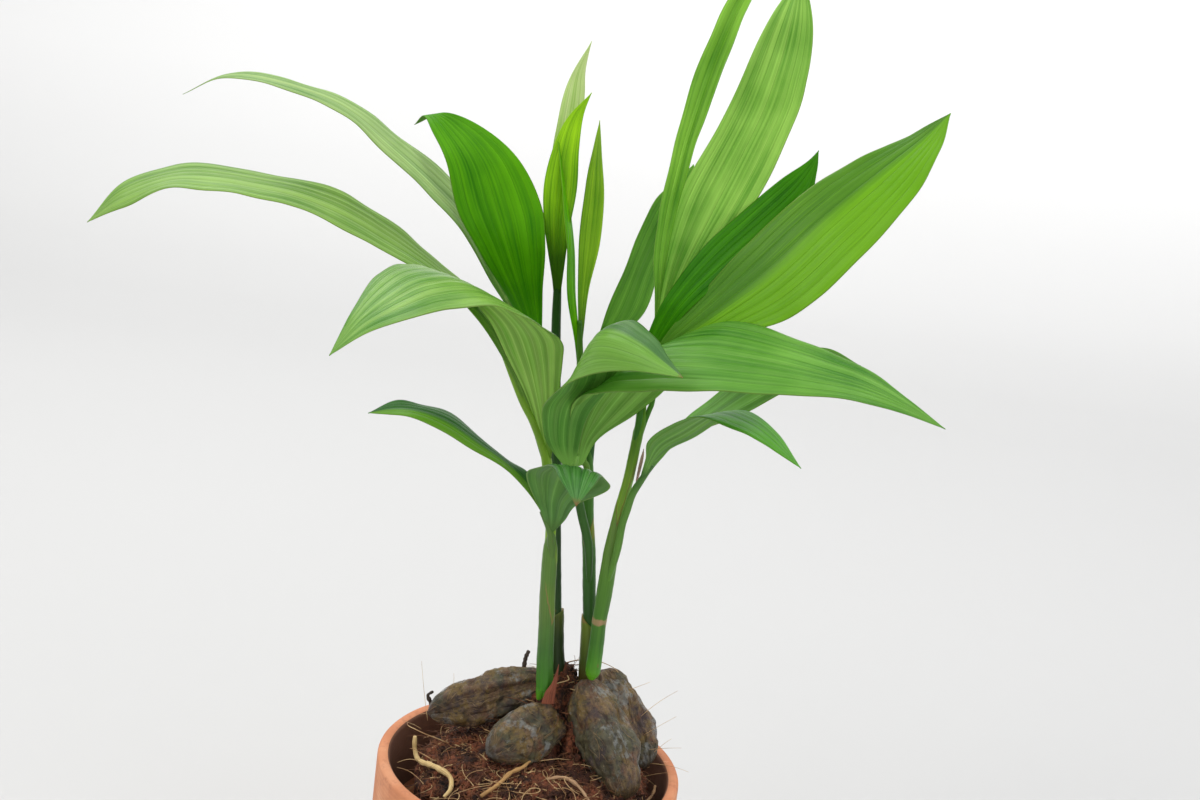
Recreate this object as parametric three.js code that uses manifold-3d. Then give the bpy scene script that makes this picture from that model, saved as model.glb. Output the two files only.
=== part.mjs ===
// Potted palm: four sprouting palm nuts with two-lobed leaves in a terracotta pot.
// Millimetres, +Z up, +Y to the back. The origin is the centre of the pot's base, on the ground.
import * as THREE from 'three';
import { mergeVertices } from 'three/addons/utils/BufferGeometryUtils.js';
import Module from 'manifold-3d';

const wasm = await Module();
wasm.setup();

// ---- driving dimensions -------------------------------------------------------------------
const POT_HEIGHT = 110;
const POT_RIM_RADIUS = 60;
const POT_RIM_BAND = 27; // height of the thickened band below the rim
const POT_BAND_STEP = 2.5; // how far the band stands out from the body
const POT_BASE_RADIUS = 41;
const POT_WALL = 4.8;
const POT_FLOOR = 6;
const FOOT_DISH = 1.5; // depth of the ring groove under the base
const DRAIN_RADIUS = 4.5;
const DRAIN_CIRCLE = 22; // radius of the circle that the drain holes stand on
const DRAIN_COUNT = 3;

const BALL_X = 2; // the root ball sits a little to the right in the pot
const BALL_RADIUS = 47;
const BALL_SHOULDER = 100;
const BALL_TOP = 118;
const PEAK_PLACE = [9, 13]; // the top of the root ball, between the nuts
const PEAK_TOP = 148;
const PEAK_RADIUS = 28; // where the peak runs out into the mound
const PEAK_FOOT = 0.3; // share of its rise at which the peak starts to slope

const GAP = 0.3; // clearance between pieces that touch
const BLADE = 1.1; // thickness of a leaf blade
const TIP_WIDTH = 1; // width of a blade at its very tip
const ROWS = 2; // spans between the stations of a blade
const COLUMNS = 4; // strips across a blade

// ---- solids -------------------------------------------------------------------------------
const group = new THREE.Group();

function solid(geometry) {
  const bare = geometry.clone();
  bare.deleteAttribute('normal');
  bare.deleteAttribute('uv');
  const welded = mergeVertices(bare, 1e-4);
  const mesh = new wasm.Mesh({
    numProp: 3,
    vertProperties: Float32Array.from(welded.attributes.position.array),
    triVerts: Uint32Array.from(welded.index.array),
  });
  return new wasm.Manifold(mesh);
}

function geometryOf(body) {
  const mesh = body.getMesh();
  const geometry = new THREE.BufferGeometry();
  geometry.setAttribute('position', new THREE.BufferAttribute(mesh.vertProperties, 3));
  geometry.setIndex(new THREE.BufferAttribute(mesh.triVerts, 1));
  geometry.computeVertexNormals();
  return geometry;
}

function addPiece(name, body, color, roughness) {
  const material = new THREE.MeshStandardMaterial({ color, roughness, metalness: 0 });
  const mesh = new THREE.Mesh(geometryOf(body), material);
  mesh.name = name;
  group.add(mesh);
}

const point = ([x, y, z]) => new THREE.Vector3(x, y, z);

// A round rod along a smooth curve through points that each carry a radius: [x, y, z, radius].
function rod(points, grow = 0, steps = 10, sides = 8) {
  const curve = new THREE.CatmullRomCurve3(points.map(point), false, 'centripetal');
  const span = point(points[points.length - 1]).sub(point(points[0]));
  const upright = Math.abs(span.y) < Math.abs(span.z);
  const crosswise = upright ? new THREE.Vector3(0, 1, 0) : new THREE.Vector3(0, 0, 1);
  const positions = [];
  for (let i = 0; i <= steps; i += 1) {
    const t = i / steps;
    const place = t * (points.length - 1);
    const before = Math.min(Math.floor(place), points.length - 2);
    const radius = THREE.MathUtils.lerp(points[before][3], points[before + 1][3], place - before) + grow;
    const centre = curve.getPoint(t);
    const along = curve.getTangent(t);
    const side = crosswise.clone().cross(along).normalize();
    const up = along.clone().cross(side);
    for (let j = 0; j < sides; j += 1) {
      const angle = (2 * Math.PI * j) / sides;
      const p = centre.clone().addScaledVector(side, radius * Math.cos(angle));
      p.addScaledVector(up, radius * Math.sin(angle));
      positions.push(p.x, p.y, p.z);
    }
  }
  const faces = [];
  for (let i = 0; i < steps; i += 1) {
    for (let j = 0; j < sides; j += 1) {
      const a = i * sides + j;
      const b = i * sides + ((j + 1) % sides);
      faces.push(a, b, b + sides, a, b + sides, a + sides);
    }
  }
  const last = steps * sides;
  for (let j = 1; j < sides - 1; j += 1) {
    faces.push(0, j + 1, j, last, last + j, last + j + 1);
  }
  const geometry = new THREE.BufferGeometry();
  geometry.setAttribute('position', new THREE.BufferAttribute(Float32Array.from(positions), 3));
  geometry.setIndex(faces);
  return solid(geometry);
}

// A solid of revolution about +Z from [radius, height] pairs that start and end on the axis.
function turned(profile, segments) {
  return solid(new THREE.LatheGeometry(profile.map(([r, z]) => new THREE.Vector2(r, z)), segments))
    .rotate([90, 0, 0]);
}

// A closed skin over a grid of points: rows of equal length, top side then bottom side.
function sheet(top, bottom) {
  const rows = top.length;
  const columns = top[0].length;
  const corners = [...top.flat(), ...bottom.flat()];
  const faces = [];
  const half = rows * columns;
  const quad = (a, b, c, d) => faces.push(a, b, c, a, c, d);
  for (let i = 0; i < rows - 1; i += 1) {
    for (let j = 0; j < columns - 1; j += 1) {
      const a = i * columns + j;
      quad(a, a + 1, a + columns + 1, a + columns);
      quad(half + a, half + a + columns, half + a + columns + 1, half + a + 1);
    }
    const left = i * columns;
    const right = left + columns - 1;
    quad(left, left + columns, half + left + columns, half + left);
    quad(right, half + right, half + right + columns, right + columns);
  }
  for (let j = 0; j < columns - 1; j += 1) {
    const end = (rows - 1) * columns + j;
    quad(j, half + j, half + j + 1, j + 1);
    quad(end, end + 1, half + end + 1, half + end);
  }
  const geometry = new THREE.BufferGeometry();
  const numbers = new Float32Array(corners.flatMap((p) => [p.x, p.y, p.z]));
  geometry.setAttribute('position', new THREE.BufferAttribute(numbers, 3));
  geometry.setIndex(faces);
  return solid(geometry);
}

// The Catmull-Rom blend of four rows of numbers at t between the second and the third.
function blend(a, b, c, d, t) {
  return b.map((_, k) => 0.5 * (2 * b[k] + (c[k] - a[k]) * t
    + (2 * a[k] - 5 * b[k] + 4 * c[k] - d[k]) * t * t
    + (3 * b[k] - a[k] - 3 * c[k] + d[k]) * t * t * t));
}

function smoothRows(stations, spans) {
  const first = stations[0];
  const last = stations[stations.length - 1];
  const before = first.map((v, k) => 2 * v - stations[1][k]);
  const after = last.map((v, k) => 2 * v - stations[stations.length - 2][k]);
  const padded = [before, ...stations, after];
  const rows = [];
  for (let i = 0; i < stations.length - 1; i += 1) {
    for (let s = 0; s < spans; s += 1) {
      rows.push(blend(padded[i], padded[i + 1], padded[i + 2], padded[i + 3], s / spans));
    }
  }
  rows.push(last);
  return rows;
}

// One lobe of a leaf. Each station is [left margin x, y, z, right margin x, y, z, arch], as seen
// on the upper face with the tip up. The arch is how far the middle stands above the chord, as a
// share of the width.
function lobe(stations) {
  const rows = smoothRows(stations, ROWS);
  const lefts = rows.map((r) => new THREE.Vector3(r[0], r[1], r[2]));
  const rights = rows.map((r) => new THREE.Vector3(r[3], r[4], r[5]));
  const middles = lefts.map((p, i) => p.clone().add(rights[i]).multiplyScalar(0.5));
  const top = [];
  const bottom = [];
  const normals = rows.map((_, i) => {
    const ahead = middles[Math.min(i + 1, rows.length - 1)];
    const along = ahead.clone().sub(middles[Math.max(i - 1, 0)]);
    const across = rights[i].clone().sub(lefts[i]);
    return across.cross(along).normalize();
  });
  normals[rows.length - 1] = normals[rows.length - 2];
  let side = rights[1].clone().sub(lefts[1]).normalize();
  rows.forEach((row, i) => {
    const across = rights[i].clone().sub(lefts[i]);
    const width = Math.max(across.length(), TIP_WIDTH);
    if (across.length() > TIP_WIDTH) side = across.normalize();
    const upper = [];
    const lower = [];
    for (let j = 0; j <= COLUMNS; j += 1) {
      const s = j / COLUMNS;
      const rise = 4 * s * (1 - s) * row[6] * width;
      const p = middles[i].clone().addScaledVector(side, (s - 0.5) * width);
      p.addScaledVector(normals[i], rise);
      upper.push(p.clone().addScaledVector(normals[i], BLADE / 2));
      lower.push(p.clone().addScaledVector(normals[i], -BLADE / 2));
    }
    top.push(upper);
    bottom.push(lower);
  });
  return sheet(top, bottom);
}

// A nut: a plump spindle with blunt shoulders, from its stem end to its tip.
function nut(from, to, radius, grow = 0) {
  const start = point(from);
  const axis = point(to).sub(start);
  const length = axis.length();
  const outline = [
    [0, 0], [0.45, 0.04], [0.8, 0.16], [0.98, 0.36], [1, 0.55], [0.86, 0.76], [0.5, 0.93], [0, 1],
  ];
  const profile = outline.map(([r, t]) => [r > 0 ? r * radius + grow : 0, (t - 0.5) * (length + 2 * grow)]);
  const up = new THREE.Vector3(0, 0, 1);
  const turn = new THREE.Quaternion().setFromUnitVectors(up, axis.clone().normalize());
  const place = new THREE.Matrix4().makeRotationFromQuaternion(turn);
  place.setPosition(start.add(axis.multiplyScalar(0.5)));
  return turned(profile, 14).transform(place.toArray());
}

// ---- pot ----------------------------------------------------------------------------------
function pot() {
  const bodyTop = POT_HEIGHT - POT_RIM_BAND;
  const bodyTopRadius = POT_RIM_RADIUS - POT_BAND_STEP - 0.6;
  const innerTop = POT_RIM_RADIUS - POT_WALL;
  const innerFoot = POT_BASE_RADIUS - POT_WALL;
  const grooveIn = DRAIN_CIRCLE + DRAIN_RADIUS + 3;
  const grooveOut = POT_BASE_RADIUS - 4;
  let body = turned([
    [0, 0], [grooveIn, 0], [grooveIn + 1, FOOT_DISH], [grooveOut - 1, FOOT_DISH], [grooveOut, 0],
    [POT_BASE_RADIUS - 1, 0], [POT_BASE_RADIUS, 1], [bodyTopRadius, bodyTop],
    [POT_RIM_RADIUS - 0.5, bodyTop + 0.8], [POT_RIM_RADIUS, bodyTop + 2],
    [POT_RIM_RADIUS, POT_HEIGHT - 1.5], [POT_RIM_RADIUS - 1.5, POT_HEIGHT],
    [innerTop + 1.5, POT_HEIGHT], [innerTop, POT_HEIGHT - 1.5],
    [innerTop - 1.5, bodyTop - 4], [innerFoot, POT_FLOOR + 3], [innerFoot - 3, POT_FLOOR], [0, POT_FLOOR],
  ], 32);
  for (let i = 0; i < DRAIN_COUNT; i += 1) {
    const angle = Math.PI / 2 + (2 * Math.PI * i) / DRAIN_COUNT;
    const top = POT_FLOOR + 2;
    const drill = turned([[0, -2], [DRAIN_RADIUS, -2], [DRAIN_RADIUS, top], [0, top]], 14);
    const place = [DRAIN_CIRCLE * Math.cos(angle), DRAIN_CIRCLE * Math.sin(angle), 0];
    body = body.subtract(drill.translate(place));
  }
  return body;
}

// ---- plant: nuts, stems, roots ------------------------------------------------------------
const NUTS = {
  nut_left: { from: [3, 16, 139.5], to: [-43, 8, 121], radius: 9.4 },
  nut_centre: { from: [10, 5, 128], to: [-16, -20, 121], radius: 10.4 },
  nut_front_right: { from: [16.5, 8, 144.5], to: [40.5, -17, 107], radius: 11.2 },
  nut_back_right: { from: [24, 23, 143], to: [47, 12, 107], radius: 9.8 },
};

// Rods are lists of [x, y, z, radius].
const STEMS = {
  stem_a: [[3.2, 1, 132, 3], [2.4, 0, 143, 3.3], [1.2, 0, 155, 3.3], [0.3, 0, 167, 3.15],
    [-1.1, 0, 183, 3.05], [-2, 0, 199, 2.9]],
  stem_b: [[7.5, 12.5, 134, 2.5], [5.9, 12, 146, 2.5], [4.7, 12, 154, 2.5], [2.7, 12, 171, 2.4],
    [0.6, 12, 188, 2.4], [-1.4, 12, 204, 2.4], [-3.6, 12, 225, 2.3], [-5.8, 12.5, 244, 2.2],
    [-6.2, 12.7, 248, 2.2]],
  stem_c: [[20, 13, 134, 2.7], [18.5, 11.5, 150, 2.7], [16.5, 11, 169, 2.6], [14.9, 11, 181, 2.6],
    [12.9, 11, 197, 2.6], [11.5, 11, 205, 2.6], [10.4, 11, 212, 2.5], [9.3, 11, 223, 2.2],
    [8.6, 11, 230, 2]],
  stem_d: [[20, 6, 132, 2.6], [20.2, 4.6, 145, 2.9], [20.4, 4, 152, 3], [20.4, 4, 164, 2.9],
    [20.3, 4, 172, 2.85], [20.8, 4, 185, 3.1], [21.2, 3.5, 201, 2.9], [21.5, 3, 209, 2.5],
    [22.4, 3, 219, 2.2], [24.1, 3, 233, 2], [25.2, 3, 249, 2], [25.5, 3, 252, 2]],
};

const ROOTS = {
  root_white: [[-46, -1, 115, 0.9], [-45.5, -1.5, 110, 1.1], [-44, -4, 107.5, 1.2], [-42, -9, 108.5, 1.2],
    [-37, -15, 110.5, 1.3], [-33, -20, 111.8, 1.3], [-29, -25, 112, 1.1], [-28, -30, 110, 0.9],
    [-30, -33, 107.5, 0.8]],
  root_tan: [[-16, -36, 111.5, 0.9], [-10, -31, 115, 1], [-6, -25, 117.3, 1], [-2, -22, 118.5, 0.9],
    [1, -17, 119.5, 0.7]],
  root_front: [[8, -24, 116, 0.7], [14, -22, 116.5, 0.8], [20, -24, 115, 0.8], [26, -30, 111, 0.7]],
  root_edge_right: [[44, -22, 107, 0.7], [47, -15, 106.5, 0.8], [50, -7, 106, 0.7], [51, -1, 107, 0.6]],
};

const TWIGS = {
  twig_upright: [[-7, 14.5, 141, 1], [-6.8, 15, 145, 1], [-6.5, 15, 148, 1], [-5.8, 15.3, 150.5, 0.7]],
  twig_left: [[-40, 9, 121, 1], [-42, 10, 125, 1], [-43.5, 10, 128, 0.8], [-41.5, 10, 130, 0.6]],
};

// ---- leaves -------------------------------------------------------------------------------
// Each leaf has a stalk (a rod) and its lobes.
const LEAVES = {
  leaf_a_low: {
    stalk: [[-1.4, -1.6, 199.6, 1.4], [-2.2, -2.4, 204, 1.4], [-3, -3.4, 209, 1.2], [-7, -4, 217, 0.9]],
    lobes: [
      [[-2.5, -4, 209, -3, -3, 208, 0], [-7, -5, 217, -8, -3, 218, 0.05],
        [-14, -12, 228, -13, -5, 231, 0.08],
        [-24, -18, 238, -23, -6, 237, 0.1], [-35, -24, 245, -33, -8, 245, 0.1],
        [-47, -28, 252, -44, -11, 253, 0.1],
        [-57, -30, 256, -54, -16, 257, 0.08], [-66, -27, 255, -64, -21, 259, 0.05],
        [-74, -22, 253, -74, -22, 253, 0]],
      [[-2, -4, 209, -3, -3, 208, 0], [2, -8, 216, -6, -5, 215, 0.05], [6, -16, 226, -10, -9, 224, 0.08],
        [17, -30, 239, -14, -19, 237, 0.05], [14, -46, 249, -6, -36, 247, 0.06],
        [11, -58, 249, -1, -52, 248, 0.1], [6, -64, 243, 6, -64, 243, 0]],
    ],
  },
  leaf_a_high: {
    stalk: [[-2.4, 1.4, 199.6, 1.9], [-2.7, 1, 206, 2], [-3.5, 0.6, 214.6, 2], [-5.8, 0.5, 224.5, 2],
      [-8.1, 0.5, 237.5, 1.9], [-14, 0.5, 250, 1.6], [-20, 1, 259, 1.3], [-30, 4, 277, 0.9]],
    lobes: [
      [[-9, 0, 235, -8, 0, 236, 0], [-20, 0, 260, -18, 2, 261, 0], [-33, 0, 280, -30, 6, 283, 0],
        [-43, 0, 291, -39, 10, 292, 0], [-58, -3, 302, -54, 14, 302, 0], [-79, -10, 313, -73, 14, 315, 0],
        [-99, -16, 322, -94, 10, 326, 0], [-119, -20, 327, -118, 4, 331, 0],
        [-150, -22, 327, -147, 0, 332, 0],
        [-168, -22, 318, -171, -6, 324, 0], [-182, -16, 309, -182, -16, 309, 0]],
      [[-6, 0, 236, -8, 0, 236, 0], [-6, -5, 257, -17, 0, 258, 0], [-6, -8, 278, -27, 0, 275, 0],
        [-7, -14, 287, -36, 3, 288, 0], [-13, -24, 294, -51, 6, 298, 0.02],
        [-29, -44, 305, -61, -14, 308, 0.05],
        [-44, -58, 306, -68, -36, 313, 0.06], [-55, -72, 305, -73, -56, 311, 0.05],
        [-68, -84, 302, -76, -74, 306, 0], [-80, -92, 294, -80, -92, 294, 0]],
    ],
  },
  leaf_b_wide: {
    stalk: [[-7.4, 14.2, 250, 1.4], [-11, 15, 262, 1.4], [-17, 14, 277, 1.2], [-31, 15, 294, 0.8]],
    lobes: [
      [[-18, 14, 276, -16, 14, 277, 0], [-35, 15, 296, -31, 18, 297, 0], [-51, 8, 320, -41, 30, 318, 0],
        [-73, 2, 340, -65, 24, 340, 0], [-98, 0, 358, -96, 18, 359, 0], [-123, 0, 364, -124, 12, 366, 0],
        [-141, 2, 364, -140, 6, 365, 0], [-155, 4, 356, -155, 4, 356, 0]],
      [[-18, 14, 276, -15, 12, 277, 0], [-31, 12, 295, -17, 10, 297, 0], [-44, 8, 314, -18, 6, 317, 0],
        [-52, 8, 326, -21, 8, 331, 0], [-58, 12, 342, -31, 12, 346, 0], [-65, 20, 351, -45, 18, 355, 0],
        [-70, 30, 355, -61, 26, 358, 0], [-74, 38, 350, -74, 38, 350, 0]],
    ],
  },
  leaf_b_young: {
    stalk: [[-6, 12.2, 249, 1.8], [-8.2, 13, 264, 1.8], [-10.5, 14, 283.6, 1.75], [-11.5, 14, 295, 1.6],
      [-12.5, 13.5, 307, 1.2], [-14, 12, 318, 0.7]],
    lobes: [
      [[-13, 14, 297, -11, 15, 297, 0], [-18, 21, 320, -12, 25, 320, 0], [-20, 25, 346, -11, 31, 344, 0],
        [-19, 28, 366, -11, 34, 367, 0], [-17, 32, 377, -12, 35, 379, 0], [-11, 36, 390, -11, 36, 390, 0]],
      [[-12.8, 13.2, 298, -10.4, 12.6, 299, 0], [-19, 8, 323, -10, 8, 323, 0],
        [-21, 6, 338, -9, 8, 339, 0],
        [-20, 8, 351, -10, 8, 354, 0], [-16, 10, 364, -10, 9, 366, 0], [-8, 9, 375, -8, 9, 375, 0]],
    ],
  },
  leaf_c_young: {
    stalk: [[8, 9.3, 230.8, 1.2], [6.3, 8, 235, 1.2], [5, 8, 240, 1.2], [3.2, 8, 251, 1.2],
      [1.4, 8, 263, 1.2], [-0.3, 8, 277, 1.2], [-2, 8, 290, 0.8]],
    lobes: [
      [[-3, 8, 278, -1, 8, 278, 0], [-8, 4, 302, -5, 10, 301, 0], [-11, 2, 325, -8, 12, 321, 0],
        [-14, 4, 339, -12, 12, 338, 0], [-16, 6, 348, -15, 10, 348, 0], [-18, 8, 356, -18, 8, 356, 0]],
      [[-1, 8, 278, 0, 8, 278, 0], [-4, 9, 302, 0, 12, 301, 0], [-6, 11, 320, 2, 14, 320, 0],
        [-6, 13, 339, 1, 18, 337, 0], [-5, 15, 353, -2, 20, 353, 0], [-4, 18, 364, -4, 18, 364, 0]],
    ],
  },
  leaf_c_back: {
    stalk: [[8.8, 11.9, 230.8, 1.3], [8.4, 11.8, 240, 1.3], [8.4, 12, 246, 1.3], [8.4, 13, 255, 1.3],
      [7, 16, 272, 1.1], [8, 17.5, 284, 0.8]],
    lobes: [
      [[5, 17, 279, 8, 17, 279, 0], [8, 18, 294, 21, 24, 290, 0], [13, 20, 312, 26, 28, 309, 0],
        [19, 25, 333, 32, 32, 324, 0], [26, 30, 342, 37, 36, 338, 0], [33, 36, 349, 33, 36, 349, 0]],
    ],
  },
  leaf_c_front: {
    stalk: [[12.8, 6.2, 199, 1.6], [11, 6, 206, 1.7], [8.3, 4, 214.4, 1.7], [5.2, 0, 225.7, 1.6],
      [3, -2, 234, 1.5], [3.5, -3, 241, 1]],
    lobes: [
      [[3, -3, 236, -1, -3, 236, 0], [4, -5, 246, -9, -5, 246, 0.05], [6, -8, 259, -11, -11, 259, 0.1],
        [9, -13, 276, -8, -23, 269, 0.05], [11, -20, 295, -1, -38, 280, 0.12],
        [17, -36, 304, 8, -51, 288, 0.28],
        [25, -50, 303, 18, -61, 293, 0.2], [30, -60, 300, 27, -67, 295, 0.1],
        [36, -71, 296, 36, -71, 296, 0]],
      [[6, -2, 237, 4, -2, 236, 0], [11, -1, 248, 1, -4, 247, 0], [24, 0, 260, -1, -9, 261, 0.05],
        [34, 0, 272, 3, -21, 270, 0.1], [36, -4, 289, 14, -35, 277, 0.12],
        [48, -14, 302, 37, -46, 284, 0.07],
        [65, -26, 305, 60, -54, 289, 0.03], [87, -38, 303, 86, -58, 292, 0],
        [106, -48, 298, 107, -58, 291, 0], [129, -54, 285, 129, -54, 285, 0]],
    ],
  },
  leaf_d_low: {
    stalk: [[23.2, -1.4, 203, 1.4], [23.9, -1.7, 214.7, 1.4], [25, -2, 221.3, 1.4],
      [26.1, -2.5, 227.8, 1.4], [28.4, -3, 233.5, 1.3], [32, -3.5, 241, 0.9]],
    lobes: [
      [[30, -3, 234, 28, -2, 233, 0], [32, -5, 242, 29, -10, 245, 0], [38, -5, 249, 29, -16, 254, 0],
        [47, -4, 255, 35, -18, 261, 0], [59, -9, 268, 46, -24, 268, 0.03],
        [66, -24, 272, 59, -38, 270, 0.05],
        [74, -38, 270, 68, -50, 270, 0.05], [82, -54, 264, 82, -54, 264, 0]],
      [[30, -1, 234, 29, -2, 235, 0], [35, 4, 241, 33, 1, 242, 0], [43, 7, 250, 41, 15, 252, 0],
        [57, 9, 257, 50, 24, 259, 0], [72, 14, 266, 64, 28, 274, 0], [87, 14, 277, 81, 26, 284, 0],
        [97, 16, 283, 93, 22, 288, 0], [106, 18, 284, 106, 18, 284, 0]],
    ],
  },
  leaf_d_right: {
    stalk: [[24.9, 1.9, 252.6, 1.2], [24.8, 1, 260, 1.2], [24.6, 0.5, 265, 1.2], [24.6, -3, 277, 1.1],
      [27, -8, 289, 0.8]],
    lobes: [
      [[22, -6, 285, 26, -6, 284, 0], [28, -5, 306, 38, -10, 305, 0], [39, -1, 325, 53, -8, 321, 0],
        [51, 3, 339, 65, -4, 333.5, 0], [64, 7, 352.5, 75, 2, 346, 0], [73, 10, 360, 77, 8, 357, 0],
        [77, 14, 364, 77, 14, 364, 0]],
      [[26, -8, 285, 29, -9, 285, 0], [37, -9, 305, 55, -22, 300, 0], [54, -8, 329.5, 76, -26, 313, 0],
        [70, -4, 349, 94, -22, 334, 0], [88, 4, 362.5, 110, -12, 355, 0], [107, 10, 374, 119, 1, 372, 0],
        [122, 12, 384, 122, 12, 384, 0]],
    ],
  },
  leaf_d_tall: {
    stalk: [[26.7, 4, 252.6, 1], [28.2, 4, 259.6, 1], [29, 4, 264, 1], [29, 4.6, 276, 1],
    [28, 5, 290, 0.9]],
    lobes: [
      [[27, 5, 285, 28, 5, 285, 0], [25, 2, 303, 27, 6, 302, 0], [22, 0, 326, 28, 6, 328, 0],
        [24, 0, 358, 32, 7, 361, 0], [28, 0, 387, 38, 7, 388, 0], [32, -2, 403, 42, 6, 405, 0],
        [38, -4, 419, 46, 4, 420, 0], [48, -6, 432, 48, -6, 432, 0]],
      [[28, 6, 285, 30, 6, 285, 0], [25.5, 9, 304, 37, 4, 309, 0], [28, 12, 338, 56, 5, 343, 0],
        [39, 12, 368, 66, 5, 375, 0], [45, 12, 386, 68, 5, 391, 0], [50, 14, 403, 68, 8, 406, 0],
        [56, 17, 416, 65, 12, 418, 0], [61, 18, 426, 61, 18, 426, 0]],
    ],
  },
};

// ---- cut sheaths and scales ----------------------------------------------------------------
// A sleeve wraps its stem from one height to a cut top that falls away to one side.
const SLEEVES = {
  sheath_b: { stem: 'stem_b', radius: 3.4, bottom: 148, top: 171, fall: -0.5 },
  sheath_c: { stem: 'stem_c', radius: 3.8, bottom: 148, top: 169, fall: 1 },
};

// Thin scales are short lobes that stand in front of or beside a stem.
const SCALES = {
  scale_a: [[2, -4.5, 138, 7, -3.2, 138, 0.1], [3, -4.6, 143, 7, -3.4, 143, 0.1],
    [5, -4.4, 147, 7, -3.4, 148, 0.05],
    [6.2, -4, 152, 7, -3.6, 152, 0], [6.8, -3.8, 155, 6.8, -3.8, 155, 0]],
  scrap_d: [[26.9, 1.4, 232, 27.6, 3, 232, 0], [27.2, 1.6, 238, 28.4, 3, 238, 0],
    [27.6, 2, 242, 28.6, 3, 242, 0], [28.2, 2.4, 245, 28.2, 2.4, 245, 0]],
};

// ---- assembly: a piece is cut clear of everything that was placed before it --------------------
function clearOf(body, keep) {
  return keep.reduce((rest, other) => rest.subtract(other), body);
}

function largest(body) {
  return body.decompose().reduce((best, next) => (next.volume() > best.volume() ? next : best));
}

const stemRoom = Object.values(STEMS).map((points) => rod(points, GAP, 14, 10));
Object.entries(STEMS).forEach(([name, points]) => {
  addPiece(name, rod(points, 0, 14, 10), 0x4f7a33, 0.5);
});

const nutRoom = [];
Object.entries(NUTS).forEach(([name, { from, to, radius }]) => {
  const body = clearOf(nut(from, to, radius), [...stemRoom, ...nutRoom]);
  nutRoom.push(nut(from, to, radius, GAP));
  addPiece(name, largest(body), 0x5c5140, 0.85);
});

const rodRoom = [];
Object.entries({ ...ROOTS, ...TWIGS }).forEach(([name, points]) => {
  const body = clearOf(rod(points, 0, 12, 6), [...nutRoom, ...stemRoom, ...rodRoom]);
  rodRoom.push(rod(points, GAP, 12, 6));
  addPiece(name, largest(body), name.startsWith('root') ? 0xd8c390 : 0x3a2a20, 0.8);
});

const sheathRoom = [];
Object.entries(SLEEVES).forEach(([name, { stem, radius, bottom, top, fall }]) => {
  const points = STEMS[stem].map(([x, y, z]) => [x, y, z, radius]);
  const middle = points.reduce((near, p) => (Math.abs(p[2] - top) < Math.abs(near[2] - top) ? p : near));
  const slope = Math.hypot(1, fall);
  const sleeve = (grow) => rod(points, grow, 14, 10)
    .trimByPlane([0, 0, 1], bottom - grow)
    .trimByPlane([-fall / slope, 0, -1 / slope], (-fall * middle[0] - top) / slope - grow);
  const body = clearOf(sleeve(0), [...stemRoom, ...nutRoom, ...rodRoom, ...sheathRoom]);
  sheathRoom.push(sleeve(GAP));
  addPiece(name, largest(body), 0x7f9a35, 0.6);
});

Object.entries(SCALES).forEach(([name, stations]) => {
  const body = clearOf(lobe(stations), [...stemRoom, ...nutRoom, ...rodRoom, ...sheathRoom]);
  sheathRoom.push(largest(body));
  addPiece(name, largest(body), 0x9a5a3c, 0.6);
});

const leafRoom = [];
Object.entries(LEAVES).forEach(([name, { stalk, lobes }]) => {
  const whole = lobes.map(lobe).reduce((sum, next) => sum.add(next), rod(stalk, 0, 9, 8));
  const body = largest(clearOf(whole, [...stemRoom, ...sheathRoom, ...leafRoom]));
  leafRoom.push(body);
  addPiece(name, body, 0x5f9a2c, 0.45);
});

// The root ball of coir and soil: its side follows the pot and steps in near the top. Its top is
// mounded, and it rises to a peak between the nuts where the stems stand.
function rootBall() {
  const foot = POT_BASE_RADIUS - POT_WALL - 3 - GAP - BALL_X;
  const mound = [];
  for (let i = 0; i <= 6; i += 1) {
    const angle = (Math.PI / 2) * (i / 6);
    const rise = (BALL_TOP - BALL_SHOULDER) * Math.sin(angle);
    mound.push([BALL_RADIUS * Math.cos(angle), BALL_SHOULDER + rise]);
  }
  mound[6][0] = 0;
  const profile = [[0, POT_FLOOR + GAP], [foot - 2, POT_FLOOR + GAP], [foot, POT_FLOOR + 4],
    [BALL_RADIUS - 2, BALL_SHOULDER - 34], ...mound];
  const peakRise = PEAK_TOP - BALL_SHOULDER;
  const peakOutline = [[0, BALL_SHOULDER], [PEAK_RADIUS, BALL_SHOULDER]];
  for (let i = 1; i <= 5; i += 1) {
    const rise = PEAK_FOOT + (1 - PEAK_FOOT) * (i / 5);
    peakOutline.push([PEAK_RADIUS * (1 - i / 5), BALL_SHOULDER + peakRise * rise]);
  }
  const [peakX, peakY] = PEAK_PLACE;
  const peak = turned(peakOutline, 16).translate([peakX, peakY, 0]);
  return turned(profile, 24).translate([BALL_X, 0, 0]).add(peak);
}

addPiece('pot', pot(), 0xc98a62, 0.8);
const plantRoom = [...nutRoom, ...stemRoom, ...rodRoom, ...sheathRoom];
addPiece('soil', largest(clearOf(rootBall(), plantRoom)), 0x4a2f22, 0.95);

export default group;
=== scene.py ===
"""Potted palm: the looks of four sprouting palm nuts in a terracotta pot.

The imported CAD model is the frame. Leaves, stems, nuts, root ball, roots and pot are rebuilt here
as fine meshes in the places of their CAD nodes. Shapes are given in millimetres in the same frame
(+Z up, -Y to the front, origin at the centre of the pot's base) and turned into metres on the way
into Blender.
"""

import math

import bpy
import numpy as np
from mathutils import Matrix, Vector, noise


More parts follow.
